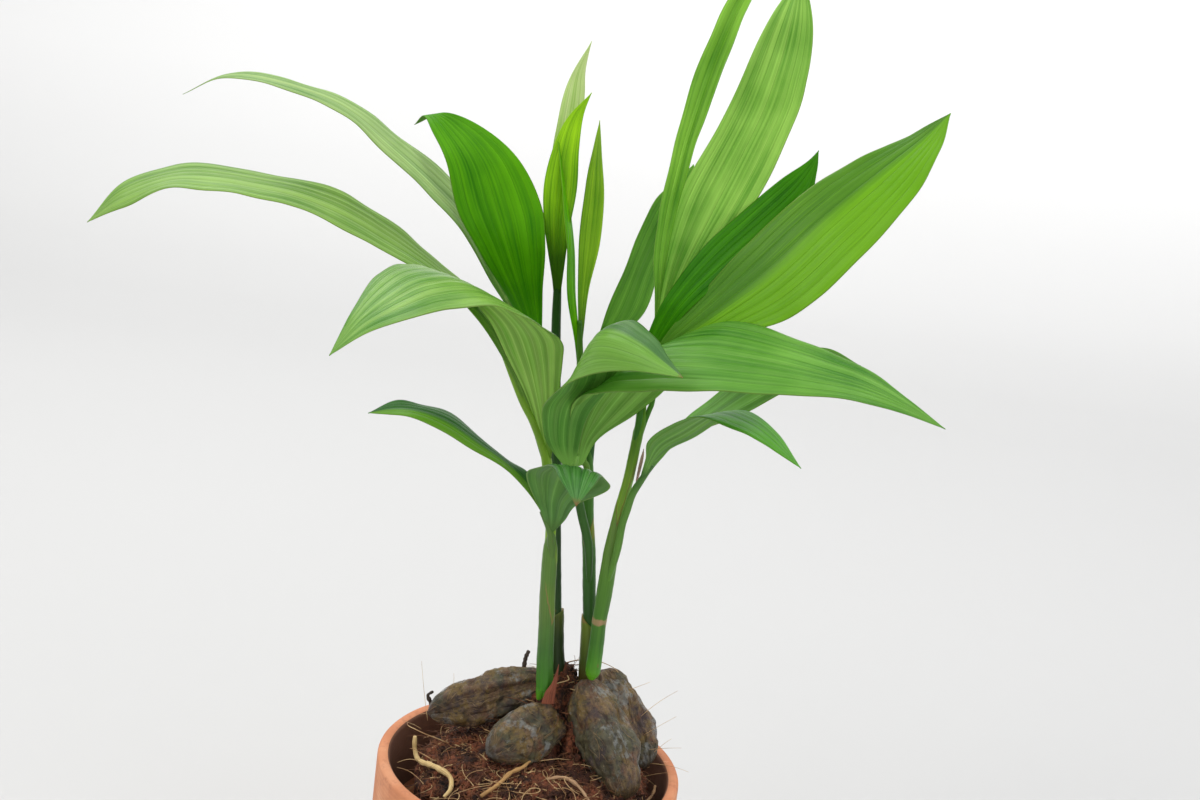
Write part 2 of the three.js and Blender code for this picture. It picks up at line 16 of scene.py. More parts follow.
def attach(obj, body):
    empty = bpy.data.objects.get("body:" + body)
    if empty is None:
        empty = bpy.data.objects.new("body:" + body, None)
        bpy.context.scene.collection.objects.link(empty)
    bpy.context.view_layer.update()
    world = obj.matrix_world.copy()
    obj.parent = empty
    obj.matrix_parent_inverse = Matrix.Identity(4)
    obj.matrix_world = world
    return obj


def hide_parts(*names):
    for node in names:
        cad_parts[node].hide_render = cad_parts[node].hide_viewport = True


MM = 0.001
BODY = "root"
LEAF_THROUGH = 0.2
LEAF_GLOW = (1.5, 1.35, 0.5)

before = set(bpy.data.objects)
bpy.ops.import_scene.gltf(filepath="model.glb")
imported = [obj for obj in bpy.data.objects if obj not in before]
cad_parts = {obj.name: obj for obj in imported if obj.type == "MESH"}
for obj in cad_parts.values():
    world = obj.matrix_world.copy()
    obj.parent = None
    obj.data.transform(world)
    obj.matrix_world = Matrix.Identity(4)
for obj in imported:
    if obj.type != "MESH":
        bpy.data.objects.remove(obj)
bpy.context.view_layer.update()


# ---- mesh helpers ---------------------------------------------------------------------------


def unit(vectors):
    """Rows of vectors at length one."""
    lengths = np.linalg.norm(vectors, axis=-1, keepdims=True)
    return vectors / np.maximum(lengths, 1e-9)


def smooth_rows(stations, per_span):
    """Rows of numbers on a Catmull-Rom curve through the stations."""
    points = np.array(stations, float)
    padded = np.vstack([2 * points[0] - points[1], points, 2 * points[-1] - points[-2]])
    rows = []
    for i in range(len(points) - 1):
        a, b, c, d = padded[i : i + 4]
        for t in np.arange(per_span) / per_span:
            cubic = (2 * a - 5 * b + 4 * c - d) * t**2 + (3 * b - a - 3 * c + d) * t**3
            rows.append(0.5 * (2 * b + (c - a) * t + cubic))
    rows.append(points[-1])
    return np.array(rows)


def lengths_along(points):
    """Distance from the first point to each point of a curve."""
    steps = np.linalg.norm(np.diff(points, axis=0), axis=1)
    return np.concatenate([[0.0], np.cumsum(steps)])


def noise_at(points, scale, seed=0.0):
    """Smooth noise between -1 and 1 at each point, with features of the given size."""
    shift = Vector((seed * 17.3, seed * 5.1, seed * 9.7))
    return np.array([noise.noise(Vector(p) / scale + shift) for p in points])


class Builder:
    """Collects vertices, faces, UVs and material numbers, and makes one object of them."""

    def __init__(self):
        self.verts = []
        self.faces = []
        self.uvs = []
        self.slots = []
        self.count = 0

    def add(self, verts, faces, uvs, slot=0):
        verts = np.asarray(verts, float)
        self.verts.append(verts)
        self.uvs.append(np.asarray(uvs, float))
        for face in faces:
            self.faces.append([int(v) + self.count for v in face])
        slots = [slot] * len(faces) if isinstance(slot, int) else list(slot)
        self.slots.extend(slots)
        self.count += len(verts)

    def finish(self, name, materials, nodes=()):
        verts = np.concatenate(self.verts) * MM
        uvs = np.concatenate(self.uvs)
        mesh = bpy.data.meshes.new(name)
        mesh.from_pydata(verts.tolist(), [], self.faces)
        layer = mesh.uv_layers.new(name="Along")
        loop_verts = np.empty(len(mesh.loops), dtype=np.int32)
        mesh.loops.foreach_get("vertex_index", loop_verts)
        layer.data.foreach_set("uv", uvs[loop_verts].astype(np.float32).ravel())
        mesh.polygons.foreach_set("material_index", np.array(self.slots, dtype=np.int32))
        mesh.polygons.foreach_set("use_smooth", np.ones(len(mesh.polygons), dtype=bool))
        for material in materials:
            mesh.materials.append(material)
        mesh.update()
        obj = bpy.data.objects.new(name, mesh)
        bpy.context.scene.collection.objects.link(obj)
        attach(obj, BODY)
        if nodes:
            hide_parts(*nodes)
        return obj


def grid_faces(rows, columns, wrap=False):
    """Quads of a grid of points; with wrap the last column joins the first."""
    faces = []
    spans = columns if wrap else columns - 1
    for i in range(rows - 1):
        for j in range(spans):
            k = (j + 1) % columns
            a, b = i * columns + j, i * columns + k
            faces.append((a, b, b + columns, a + columns))
    return faces


def tube(builder, points, radii, sides=12, slot=0, seed=0.0, wobble=0.0):
    """A closed round rod along points, with a radius for each point."""
    points = np.asarray(points, float)
    radii = np.broadcast_to(radii, len(points)).astype(float)
    along = unit(np.gradient(points, axis=0))
    guide = np.array([0.0, 0.0, 1.0])
    if abs(along[:, 2]).mean() > 0.7:
        guide = np.array([0.0, -1.0, 0.0])
    side = unit(np.cross(along, guide))
    up = unit(np.cross(side, along))
    angle = np.arange(sides) * 2 * math.pi / sides
    ring = side[:, None] * np.cos(angle)[None, :, None]
    ring = ring + up[:, None] * np.sin(angle)[None, :, None]
    verts = (points[:, None] + ring * radii[:, None, None]).reshape(-1, 3)
    if wobble:
        bumps = noise_at(verts, 3.0, seed) * wobble
        verts = verts + (ring.reshape(-1, 3) * bumps[:, None])
    faces = grid_faces(len(points), sides, wrap=True)
    last = (len(points) - 1) * sides
    faces.append(tuple(range(sides - 1, -1, -1)))
    faces.append(tuple(range(last, last + sides)))
    lengths = lengths_along(points)
    uvs = [(j / sides, length / 100) for length in lengths for j in range(sides)]
    builder.add(verts, faces, uvs, slot)


# ---- materials ------------------------------------------------------------------------------


class Nodes:
    """A material's node tree. Each method makes one node, links it and returns its output."""

    def __init__(self, name):
        self.material = bpy.data.materials.new(name)
        self.material.use_nodes = True
        self.tree = self.material.node_tree
        self.shader = self.tree.nodes["Principled BSDF"]

    def node(self, kind, inputs, **settings):
        made = self.tree.nodes.new("ShaderNode" + kind)
        for key, value in settings.items():
            setattr(made, key, value)
        for key, value in inputs.items():
            self.join(made.inputs[key], value)
        return made

    def join(self, socket, value):
        if isinstance(value, bpy.types.NodeSocket):
            self.tree.links.new(value, socket)
        else:
            socket.default_value = value

    def math(self, operation, *values):
        return self.node("Math", dict(enumerate(values)), operation=operation).outputs[0]

    def times(self, a, b):
        return self.math("MULTIPLY", a, b)

    def ramp(self, factor, *stops, interpolation="LINEAR"):
        """A colour ramp. stops are (place, grey or (r, g, b))."""
        made = self.node("ValToRGB", {0: factor})
        made.color_ramp.interpolation = interpolation
        elements = made.color_ramp.elements
        while len(elements) < len(stops):
            elements.new(0.5)
        for element, (place, colour) in zip(elements, stops):
            element.position = place
            rgb = colour if isinstance(colour, tuple) else (colour, colour, colour)
            element.color = (*rgb, 1.0)
        return made.outputs[0]

    def span(self, value, start, end, *results):
        """The value's share of the way from start to end, or its place between two results."""
        inputs = dict(enumerate((value, start, end, *results)))
        return self.node("MapRange", inputs).outputs[0]

    def mix(self, share, a, b):
        made = self.node("Mix", {}, data_type="RGBA", blend_type="MIX")
        self.join(made.inputs[0], share)
        for socket, colour in ((6, a), (7, b)):
            is_socket = isinstance(colour, bpy.types.NodeSocket)
            self.join(made.inputs[socket], colour if is_socket else (*colour, 1.0))
        return made.outputs[2]

    def layers(self, body, *rows):
        """Colours laid over the body in turn. A row is (factor, ramp stop, ramp stop, sRGB)."""
        for factor, low, high, colour in rows:
            body = self.mix(self.ramp(factor, low, high), body, srgb(*colour))
        return body

    def noise(self, vector, scale, detail=3.0, roughness=0.55):
        inputs = {"Vector": vector, "Scale": scale, "Detail": detail, "Roughness": roughness}
        return self.node("TexNoise", inputs).outputs["Fac"]

    def stretched(self, vector, scale):
        return self.node("Mapping", {"Vector": vector, "Scale": scale}).outputs[0]

    def streaks(self, vector, across, along, detail, roughness=0.55, third=1.0):
        """Noise drawn out along a piece, with this many features across and along it."""
        return self.noise(self.stretched(vector, (across, along, third)), 1.0, detail, roughness)

    def bump(self, height, strength, distance):
        inputs = {"Height": height, "Strength": strength, "Distance": distance}
        return self.node("Bump", inputs).outputs[0]

    def split(self, vector):
        return self.node("SeparateXYZ", {0: vector}).outputs

    def place(self):
        """Object coordinates, in metres in the row frame."""
        return self.node("TexCoord", {}).outputs["Object"]

    def along(self):
        """The UV map: u across or around the piece, v along it in tenths of a metre."""
        return self.node("UVMap", {}, uv_map="Along").outputs[0]

    def surface(self, colour, roughness, normal=None, shine=None):
        """Sets the shader's sockets and returns the material."""
        sockets = {"Base Color": colour, "Roughness": roughness, "Normal": normal,
                   "Specular IOR Level": shine}
        for socket, value in sockets.items():
            if value is not None:
                self.join(self.shader.inputs[socket], value)
        return self.material


def srgb(red, green, blue):
    """A linear colour from 8-bit sRGB numbers."""
    def linear(value):
        value /= 255
        return value / 12.92 if value <= 0.04045 else ((value + 0.055) / 1.055) ** 2.4
    return (linear(red), linear(green), linear(blue))


def scaled(colour, factor, lift=0.0):
    """A linear colour made darker or lighter."""
    return tuple(min(1, c * factor + lift) for c in colour)


def leaf_material(name, dark, light, ribs, under, gloss, lit_and_shaded_halves, tip, veins, foot, shine=0.3):
    """Leaf blade: broad and fine lengthwise streaks, pale rib lines on the underside, painted shade in the
    pleat grooves and a painted highlight on some pleat crests of the upper face, a thin pale margin and a dry
    tip.

    halves is (left, right, place): painted light and shade, a lighter colour and a darker colour laid over
    the two sides of the place across the blade.
    tip is the place along the blade, in millimetres, at which it turns brown. veins is the
    strength of the pale veins. foot is (colour, length in millimetres) of the blade's start.
    """
    n = Nodes(name)
    uv = n.along()
    across, length, _ = n.split(uv)
    broad = n.streaks(uv, ribs * 0.9, 1.1, 2.0, 0.5)
    streaks = n.streaks(uv, ribs * 4.5, 0.9, 3.0, 0.6)
    fine = n.streaks(uv, ribs * 16.0, 2.0, 2.0, 0.6)
    cloud = n.noise(n.place(), 30.0, 3.0)
    mixing = n.math("MULTIPLY_ADD", streaks, 0.40, n.times(broad, 0.45))
    mixing = n.math("MULTIPLY_ADD", cloud, 0.35, mixing)
    body = n.mix(n.ramp(mixing, (0.48, 0.0), (0.72, 1.0)), dark, light)
    if lit_and_shaded_halves:
        # Painted light and shade: one side of the place across the blade is painted lit and the other in
        # shade.
        left, right, place = lit_and_shaded_halves
        uneven = n.math("MULTIPLY_ADD", broad, 0.06, across)
        side = n.ramp(uneven, (place - 0.01, 0.0), (place + 0.09, 1.0))
        body = n.mix(n.times(n.math("SUBTRACT", 1.0, side), 0.72), body, left)
        body = n.mix(n.times(side, 0.72), body, right)
    wave = n.math("PINGPONG", n.times(across, ribs), 0.5)
    if under:
        wide = n.math("MULTIPLY_ADD", across, ribs * 0.6, n.times(broad, 0.3))
        stripe = n.ramp(n.math("PINGPONG", wide, 0.5), (0.10, 0.0), (0.26, 0.35), (0.36, 1.0),
                        (0.5, 1.0), interpolation="EASE")
        body = n.mix(n.times(stripe, 0.5), body, scaled(dark, 0.55))
        groove = n.ramp(wave, (0.0, 1.0), (0.05, 0.6), (0.10, 0.0))
        body = n.mix(n.times(groove, 0.25), body, scaled(light, 1.5))
    else:
        groove = n.ramp(wave, (0.0, 1.0), (0.03, 0.8), (0.075, 0.0))
        strength = n.ramp(broad, (0.35, 0.08), (0.65, 0.42))
        # Painted shade: the pleat grooves of the upper face are darkened.
        body = n.mix(n.times(groove, strength), body, scaled(dark, 0.6))
    body = n.mix(n.ramp(fine, (0.56, 0.0), (0.74, veins)), body, scaled(light, 1.45, 0.012))
    body = n.mix(n.ramp(fine, (0.24, 0.42), (0.42, 0.0)), body, scaled(dark, 0.6))
    if not under and veins > 0.5:
        # Painted highlight along the pleat crests, in patches.
        crest_highlight = n.ramp(wave, (0.40, 0.0), (0.5, 0.55))
        patchy = n.ramp(streaks, (0.42, 0.0), (0.6, 1.0))
        body = n.mix(n.times(crest_highlight, patchy), body, scaled(light, 1.5, 0.06))
    edge = n.math("ABSOLUTE", n.math("SUBTRACT", across, 0.5))
    margin = n.ramp(edge, (0.0, 0.0), (0.482, 0.0), (0.5, 1.0))
    body = n.mix(n.times(margin, 0.32), body, srgb(170, 190, 96))
    colour, reach = foot
    body = n.mix(n.span(length, reach / 250, reach / 100, 0.85, 0.0), body, colour)
    if tip:
        dry = n.math("MULTIPLY_ADD", n.math("SUBTRACT", streaks, 0.5), 0.05, length)
        place = n.span(dry, tip / 100 - 0.01, tip / 100 + 0.015)
        body = n.mix(n.times(place, 0.85), body, srgb(142, 100, 62))
    height = n.math("MULTIPLY_ADD", fine, 0.5, n.math("MULTIPLY_ADD", groove, -0.7, streaks))
    roughness = n.ramp(fine, (0.3, gloss - 0.04), (0.7, gloss + 0.12))
    n.surface(body, roughness, n.bump(height, 0.45, 0.0004), shine)
    glow = n.mix(0.55, body, tuple(min(1, c * k) for c, k in zip(light, LEAF_GLOW)))
    through = n.node("BsdfTranslucent", {"Color": glow}).outputs[0]
    both = n.node("MixShader", {0: LEAF_THROUGH, 1: n.shader.outputs[0], 2: through})
    n.join(n.tree.nodes["Material Output"].inputs["Surface"], both.outputs[0])
    return n.material


def stem_material(name, stops, splits=(), scars=()):
    """Stem: fine lengthwise ribs over colours that change with height, sheath edges and scars.

    stops are (height in mm, sRGB colour) and scars (height, thickness, sRGB colour). splits are
    pointed sheath edges: (height and x of the point, rise per mm to its sides, height where it
    fades, fill colour, edge colour).
    """
    n = Nodes(name)
    uv, place = n.along(), n.place()
    x, _, height = n.split(place)
    low, high = stops[0][0], stops[-1][0]
    rise = n.span(height, low * MM, high * MM)
    body = n.ramp(rise, *[((z - low) / (high - low), srgb(*colour)) for z, colour in stops])
    middle = srgb(*stops[len(stops) // 2][1])
    lines = n.streaks(uv, 34.0, 1.6, 3.0)
    bands = n.streaks(uv, 7.0, 1.2, 2.0)
    wander = n.times(n.math("SUBTRACT", n.noise(place, 240.0, 2.0), 0.5), 0.004)
    uneven = n.math("ADD", height, wander)
    for z, x_point, slope, fade, fill, edge in splits:
        aside = n.math("ABSOLUTE", n.math("SUBTRACT", x, x_point * MM))
        line = n.math("MULTIPLY_ADD", aside, slope, z * MM)
        past = n.times(n.math("SUBTRACT", uneven, line), math.copysign(1 / MM, slope))
        near, far = sorted((z, fade))
        share = n.span(height, near * MM, far * MM)
        stay = n.ramp(share, *(((0.6, 1.0), (1.0, 0.0)) if fade > z else ((0.0, 0.0), (0.4, 1.0))))
        inside = n.ramp(n.times(past, 0.5), (0.0, 0.0), (0.25, 0.8))
        body = n.mix(n.times(inside, stay), body, srgb(*fill))
        rim = n.ramp(n.math("ABSOLUTE", past), (0.45, 0.85), (0.95, 0.0))
        body = n.mix(n.times(rim, stay), body, srgb(*edge))
    body = n.mix(n.ramp(lines, (0.42, 0.0), (0.75, 0.4)), body, scaled(middle, 0.5))
    body = n.mix(n.ramp(bands, (0.5, 0.0), (0.72, 0.4)), body, scaled(middle, 1.7))
    patch = n.noise(place, 95.0, 3.0)
    body = n.mix(n.ramp(patch, (0.55, 0.0), (0.8, 0.3)), body, scaled(middle, 1.5))
    for z, thick, colour in scars:
        away = n.math("ABSOLUTE", n.math("SUBTRACT", uneven, z * MM))
        band = n.ramp(n.math("DIVIDE", away, thick * MM), (0.35, 0.8), (0.6, 0.0))
        body = n.mix(n.times(band, n.ramp(bands, (0.3, 0.55), (0.6, 1.0))), body, srgb(*colour))
    spots = n.noise(n.stretched(place, (1.0, 1.0, 0.4)), 330.0, 2.0)
    body = n.layers(body, (spots, (0.70, 0.0), (0.76, 0.5), (132, 96, 62)))
    return n.surface(body, n.ramp(lines, (0.3, 0.36), (0.8, 0.52)), n.bump(lines, 0.35, 0.0004), 0.3)


def dry_material(name, light, dark):
    """Dry papery or fibrous tissue: streaks along the piece."""
    n = Nodes(name)
    light, dark = srgb(*light), srgb(*dark)
    streak = n.streaks(n.along(), 22.0, 10.0, 4.0)
    spots = n.noise(n.place(), 160.0, 3.0)
    body = n.mix(n.ramp(streak, (0.35, 0.0), (0.7, 1.0)), dark, light)
    body = n.mix(n.ramp(spots, (0.5, 0.0), (0.75, 0.6)), body, scaled(dark, 0.55))
    return n.surface(body, 0.75, n.bump(streak, 0.5, 0.0005))


def husk_material():
    """Weathered nut husk: matted fibres along the nut, in olive, rust, grey and purple-brown."""
    n = Nodes("husk")
    place, uv = n.place(), n.along()
    length = n.split(uv)[1]
    fibres = n.streaks(uv, 24.0, 6.0, 6.0, 0.72)
    coarse = n.noise(place, 120.0, 6.0, 0.7)
    grains = n.noise(place, 540.0, 5.0, 0.75)
    clouds = n.noise(n.stretched(place, (1.0, 1.2, 0.8)), 74.0, 5.0, 0.7)
    patches = n.noise(place, 46.0, 4.0, 0.6)
    body = n.ramp(fibres, (0.34, srgb(52, 38, 28)), (0.48, srgb(94, 72, 50)),
                  (0.62, srgb(132, 106, 74)))
    body = n.layers(
        body,
        (coarse, (0.50, 0.0), (0.56, 0.75), (112, 90, 38)),
        (coarse, (0.38, 0.85), (0.47, 0.0), (92, 50, 28)),
        (patches, (0.51, 0.0), (0.57, 0.7), (62, 70, 52)),
        (clouds, (0.54, 0.0), (0.60, 0.75), (132, 134, 132)),
        (clouds, (0.37, 0.8), (0.45, 0.0), (58, 46, 50)),
        (grains, (0.38, 0.75), (0.47, 0.0), (30, 23, 18)),
        (grains, (0.60, 0.0), (0.70, 0.45), (184, 166, 134)),
        (length, (0.40, 0.0), (0.5, 0.65), (52, 42, 32)),
    )
    height = n.math("MULTIPLY_ADD", fibres, 1.0, n.times(grains, 0.6))
    return n.surface(body, n.ramp(clouds, (0.35, 0.65), (0.62, 0.36)), n.bump(height, 0.7, 0.0016))


def soil_material():
    """Moist coir and soil: dark red-brown with lighter fibre flecks."""
    n = Nodes("soil")
    place = n.place()
    clods = n.noise(place, 150.0, 6.0, 0.7)
    grains = n.noise(place, 700.0, 4.0, 0.7)
    warm = n.noise(place, 45.0, 3.0)
    body = n.ramp(clods, (0.38, srgb(24, 15, 11)), (0.49, srgb(76, 43, 29)), (0.60, srgb(140, 80, 52)))
    body = n.layers(
        body,
        (warm, (0.42, 0.0), (0.68, 0.5), (120, 60, 34)),
        (grains, (0.34, 0.7), (0.48, 0.0), (20, 13, 10)),
        (grains, (0.62, 0.0), (0.70, 0.6), (176, 128, 88)),
    )
    return n.surface(body, 0.93, n.bump(n.math("ADD", clods, grains), 0.9, 0.0018))


def fibre_material(name, light, dark):
    """Coir and root fibres, each strand a little lighter or darker than the next."""
    n = Nodes(name)
    light, dark = srgb(*light), srgb(*dark)
    tone = n.noise(n.place(), 150.0, 3.0)
    streak = n.streaks(n.along(), 3.0, 40.0, 2.0)
    body = n.mix(n.ramp(tone, (0.36, 0.0), (0.64, 1.0)), dark, light)
    body = n.mix(n.ramp(streak, (0.5, 0.0), (0.8, 0.4)), body, scaled(dark, 0.5))
    return n.surface(body, 0.8)


def terracotta_material():
    """Unglazed terracotta: warm orange-pink, turning lines, specks and a darker inner wall, partly damp clay
    and partly painted shade.
    """
    n = Nodes("terracotta")
    place = n.place()
    x, y, z = n.split(place)
    clouds = n.noise(place, 26.0, 4.0, 0.6)
    mottle = n.noise(place, 240.0, 4.0, 0.65)
    turning = n.streaks(place, 6.0, 6.0, 3.0, third=900.0)
    body = n.ramp(clouds, (0.34, srgb(188, 116, 78)), (0.52, srgb(208, 138, 98)),
                  (0.70, srgb(222, 160, 122)))
    body = n.layers(
        body,
        (turning, (0.40, 0.0), (0.72, 0.35), (176, 104, 70)),
        (mottle, (0.34, 0.45), (0.46, 0.0), (168, 98, 66)),
        (mottle, (0.66, 0.0), (0.75, 0.5), (232, 190, 158)),
    )
    # The inner wall above the soil is darkened: partly damp clay, partly painted shade inside the pot.
    radius = n.math("SQRT", n.math("MULTIPLY_ADD", y, y, n.times(x, x)))
    inside = n.math("LESS_THAN", radius, (POT_RIM_RADIUS - POT_WALL + 0.7) * MM)
    high = n.math("GREATER_THAN", z, 0.082)
    body = n.mix(n.times(n.times(inside, high), 0.78), body, srgb(44, 29, 22))
    height = n.math("MULTIPLY_ADD", turning, 0.6, mottle)
    return n.surface(body, n.ramp(mottle, (0.3, 0.72), (0.7, 0.88)), n.bump(height, 0.35, 0.0006))


# ---- pot ------------------------------------------------------------------------------------

POT_HEIGHT = 110.0
POT_RIM_RADIUS = 60.0
POT_RIM_BAND = 27.0
POT_BAND_STEP = 2.5
POT_BASE_RADIUS = 41.0
POT_WALL = 4.8
POT_FLOOR = 6.0
FOOT_DISH = 1.5
DRAIN_RADIUS = 4.5
DRAIN_CIRCLE = 22.0
DRAIN_COUNT = 3


def round_corner(before, corner, after, radius, steps=5):
    """Points of an arc that rounds a corner of a profile."""
    before, corner, after = (np.array(p, float) for p in (before, corner, after))
    towards_before = unit(before - corner)
    towards_after = unit(after - corner)
    start = corner + towards_before * radius
    end = corner + towards_after * radius
    points = []
    for i in range(steps + 1):
        t = i / steps
        points.append(tuple((1 - t) ** 2 * start + 2 * t * (1 - t) * corner + t * t * end))
    return points


def rounded_profile(corners):
    """A turned profile from (radius, height, rounding) corners; rounding 0 keeps the corner."""
    points = []
    for i, (r, z, rounding) in enumerate(corners):
        if rounding and 0 < i < len(corners) - 1:
            points += round_corner(corners[i - 1][:2], (r, z), corners[i + 1][:2], rounding)
        else:
            points.append((r, z))
    return points


def turned(builder, profile, sides, ripple=0.0, seed=0.0):
    """A turned body. The profile starts and ends on the axis."""
    rings = [(r, z) for r, z in profile if r > 1e-6]
    angle = np.arange(sides) * 2 * math.pi / sides
    verts = []
    for r, z in rings:
        verts += [(r * math.cos(a), r * math.sin(a), z) for a in angle]
    verts = np.array(verts)
    if ripple:
        outward = unit(verts * np.array([1, 1, 0]))
        verts += outward * (noise_at(verts, 22.0, seed) * ripple)[:, None]
    faces = grid_faces(len(rings), sides, wrap=True)
    lengths = lengths_along(np.array(rings))
    uvs = [(j / sides, length / 100) for length in lengths for j in range(sides)]
    start = len(verts)
    verts = np.vstack([verts, (0, 0, profile[0][1]), (0, 0, profile[-1][1])])
    uvs += [(0.5, 0.0), (0.5, lengths[-1] / 100)]
    last = (len(rings) - 1) * sides
    faces += [(start, (j + 1) % sides, j) for j in range(sides)]
    faces += [(start + 1, last + j, last + (j + 1) % sides) for j in range(sides)]
    builder.add(verts, faces, uvs)


def make_pot():
    body_top = POT_HEIGHT - POT_RIM_BAND
    body_radius = POT_RIM_RADIUS - POT_BAND_STEP - 0.6
    inner_top = POT_RIM_RADIUS - POT_WALL
    inner_foot = POT_BASE_RADIUS - POT_WALL
    groove_in = DRAIN_CIRCLE + DRAIN_RADIUS + 3
    groove_out = POT_BASE_RADIUS - 4
    profile = rounded_profile([
        (0, 0, 0), (groove_in, 0, 0.4), (groove_in + 1, FOOT_DISH, 0.4),
        (groove_out - 1, FOOT_DISH, 0.4), (groove_out, 0, 0.4), (POT_BASE_RADIUS, 0, 1.4),
        (body_radius, body_top, 0.6), (POT_RIM_RADIUS, body_top + 0.8, 1.2),
        (POT_RIM_RADIUS, POT_HEIGHT, 1.9), (inner_top, POT_HEIGHT, 2.2),
        (inner_top - 1.5, body_top - 4, 1.5), (inner_foot, POT_FLOOR, 3.0), (0, POT_FLOOR, 0),
    ])
    builder = Builder()
    turned(builder, profile, 128, ripple=0.18, seed=3.0)
    pot = builder.finish("pot_fine", [terracotta_material()], ["pot"])
    for i in range(DRAIN_COUNT):
        angle = math.pi / 2 + 2 * math.pi * i / DRAIN_COUNT
        centre = (DRAIN_CIRCLE * math.cos(angle) * MM, DRAIN_CIRCLE * math.sin(angle) * MM)
        cut_drain(pot, centre)


def cut_drain(pot, centre):
    """A round hole through the pot's floor."""
    place = (*centre, POT_FLOOR * MM / 2)
    depth = (POT_FLOOR + 6) * MM
    bpy.ops.mesh.primitive_cylinder_add(vertices=28, radius=DRAIN_RADIUS * MM, depth=depth, location=place)
    drill = bpy.context.object
    cut = pot.modifiers.new("drain", "BOOLEAN")
    cut.operation = "DIFFERENCE"
    cut.solver = "EXACT"
    cut.object = drill
    bpy.context.view_layer.objects.active = pot
    bpy.ops.object.modifier_apply(modifier="drain")
    bpy.data.objects.remove(drill)


# ---- nuts, stems, leaves: the same control points as the CAD model -----------------------------

NUTS = {
    "nut_left": {"from": [3, 16, 139.5], "to": [-43, 8, 121], "radius": 9.4},
    "nut_centre": {"from": [10, 5, 128], "to": [-16, -20, 121], "radius": 10.4},
    "nut_front_right": {"from": [16.5, 8, 144.5], "to": [40.5, -17, 107], "radius": 11.2},
    "nut_back_right": {"from": [24, 23, 143], "to": [47, 12, 107], "radius": 9.8},
}

# Rods are lists of (x, y, z, radius).
STEMS = {
    "stem_a": [[3.2, 1, 132, 3], [2.4, 0, 143, 3.3], [1.2, 0, 155, 3.3], [0.3, 0, 167, 3.15],
        [-1.1, 0, 183, 3.05], [-2, 0, 199, 2.9]],
    "stem_b": [[7.5, 12.5, 134, 2.5], [5.9, 12, 146, 2.5], [4.7, 12, 154, 2.5], [2.7, 12, 171, 2.4],
        [0.6, 12, 188, 2.4], [-1.4, 12, 204, 2.4], [-3.6, 12, 225, 2.3], [-5.8, 12.5, 244, 2.2],
        [-6.2, 12.7, 248, 2.2]],
    "stem_c": [[20, 13, 134, 2.7], [18.5, 11.5, 150, 2.7], [16.5, 11, 169, 2.6], [14.9, 11, 181, 2.6],
        [12.9, 11, 197, 2.6], [11.5, 11, 205, 2.6], [10.4, 11, 212, 2.5], [9.3, 11, 223, 2.2],
        [8.6, 11, 230, 2]],
    "stem_d": [[20, 6, 132, 2.6], [20.2, 4.6, 145, 2.9], [20.4, 4, 152, 3], [20.4, 4, 164, 2.9],
        [20.3, 4, 172, 2.85], [20.8, 4, 185, 3.1], [21.2, 3.5, 201, 2.9], [21.5, 3, 209, 2.5],
        [22.4, 3, 219, 2.2], [24.1, 3, 233, 2], [25.2, 3, 249, 2], [25.5, 3, 252, 2]],
}

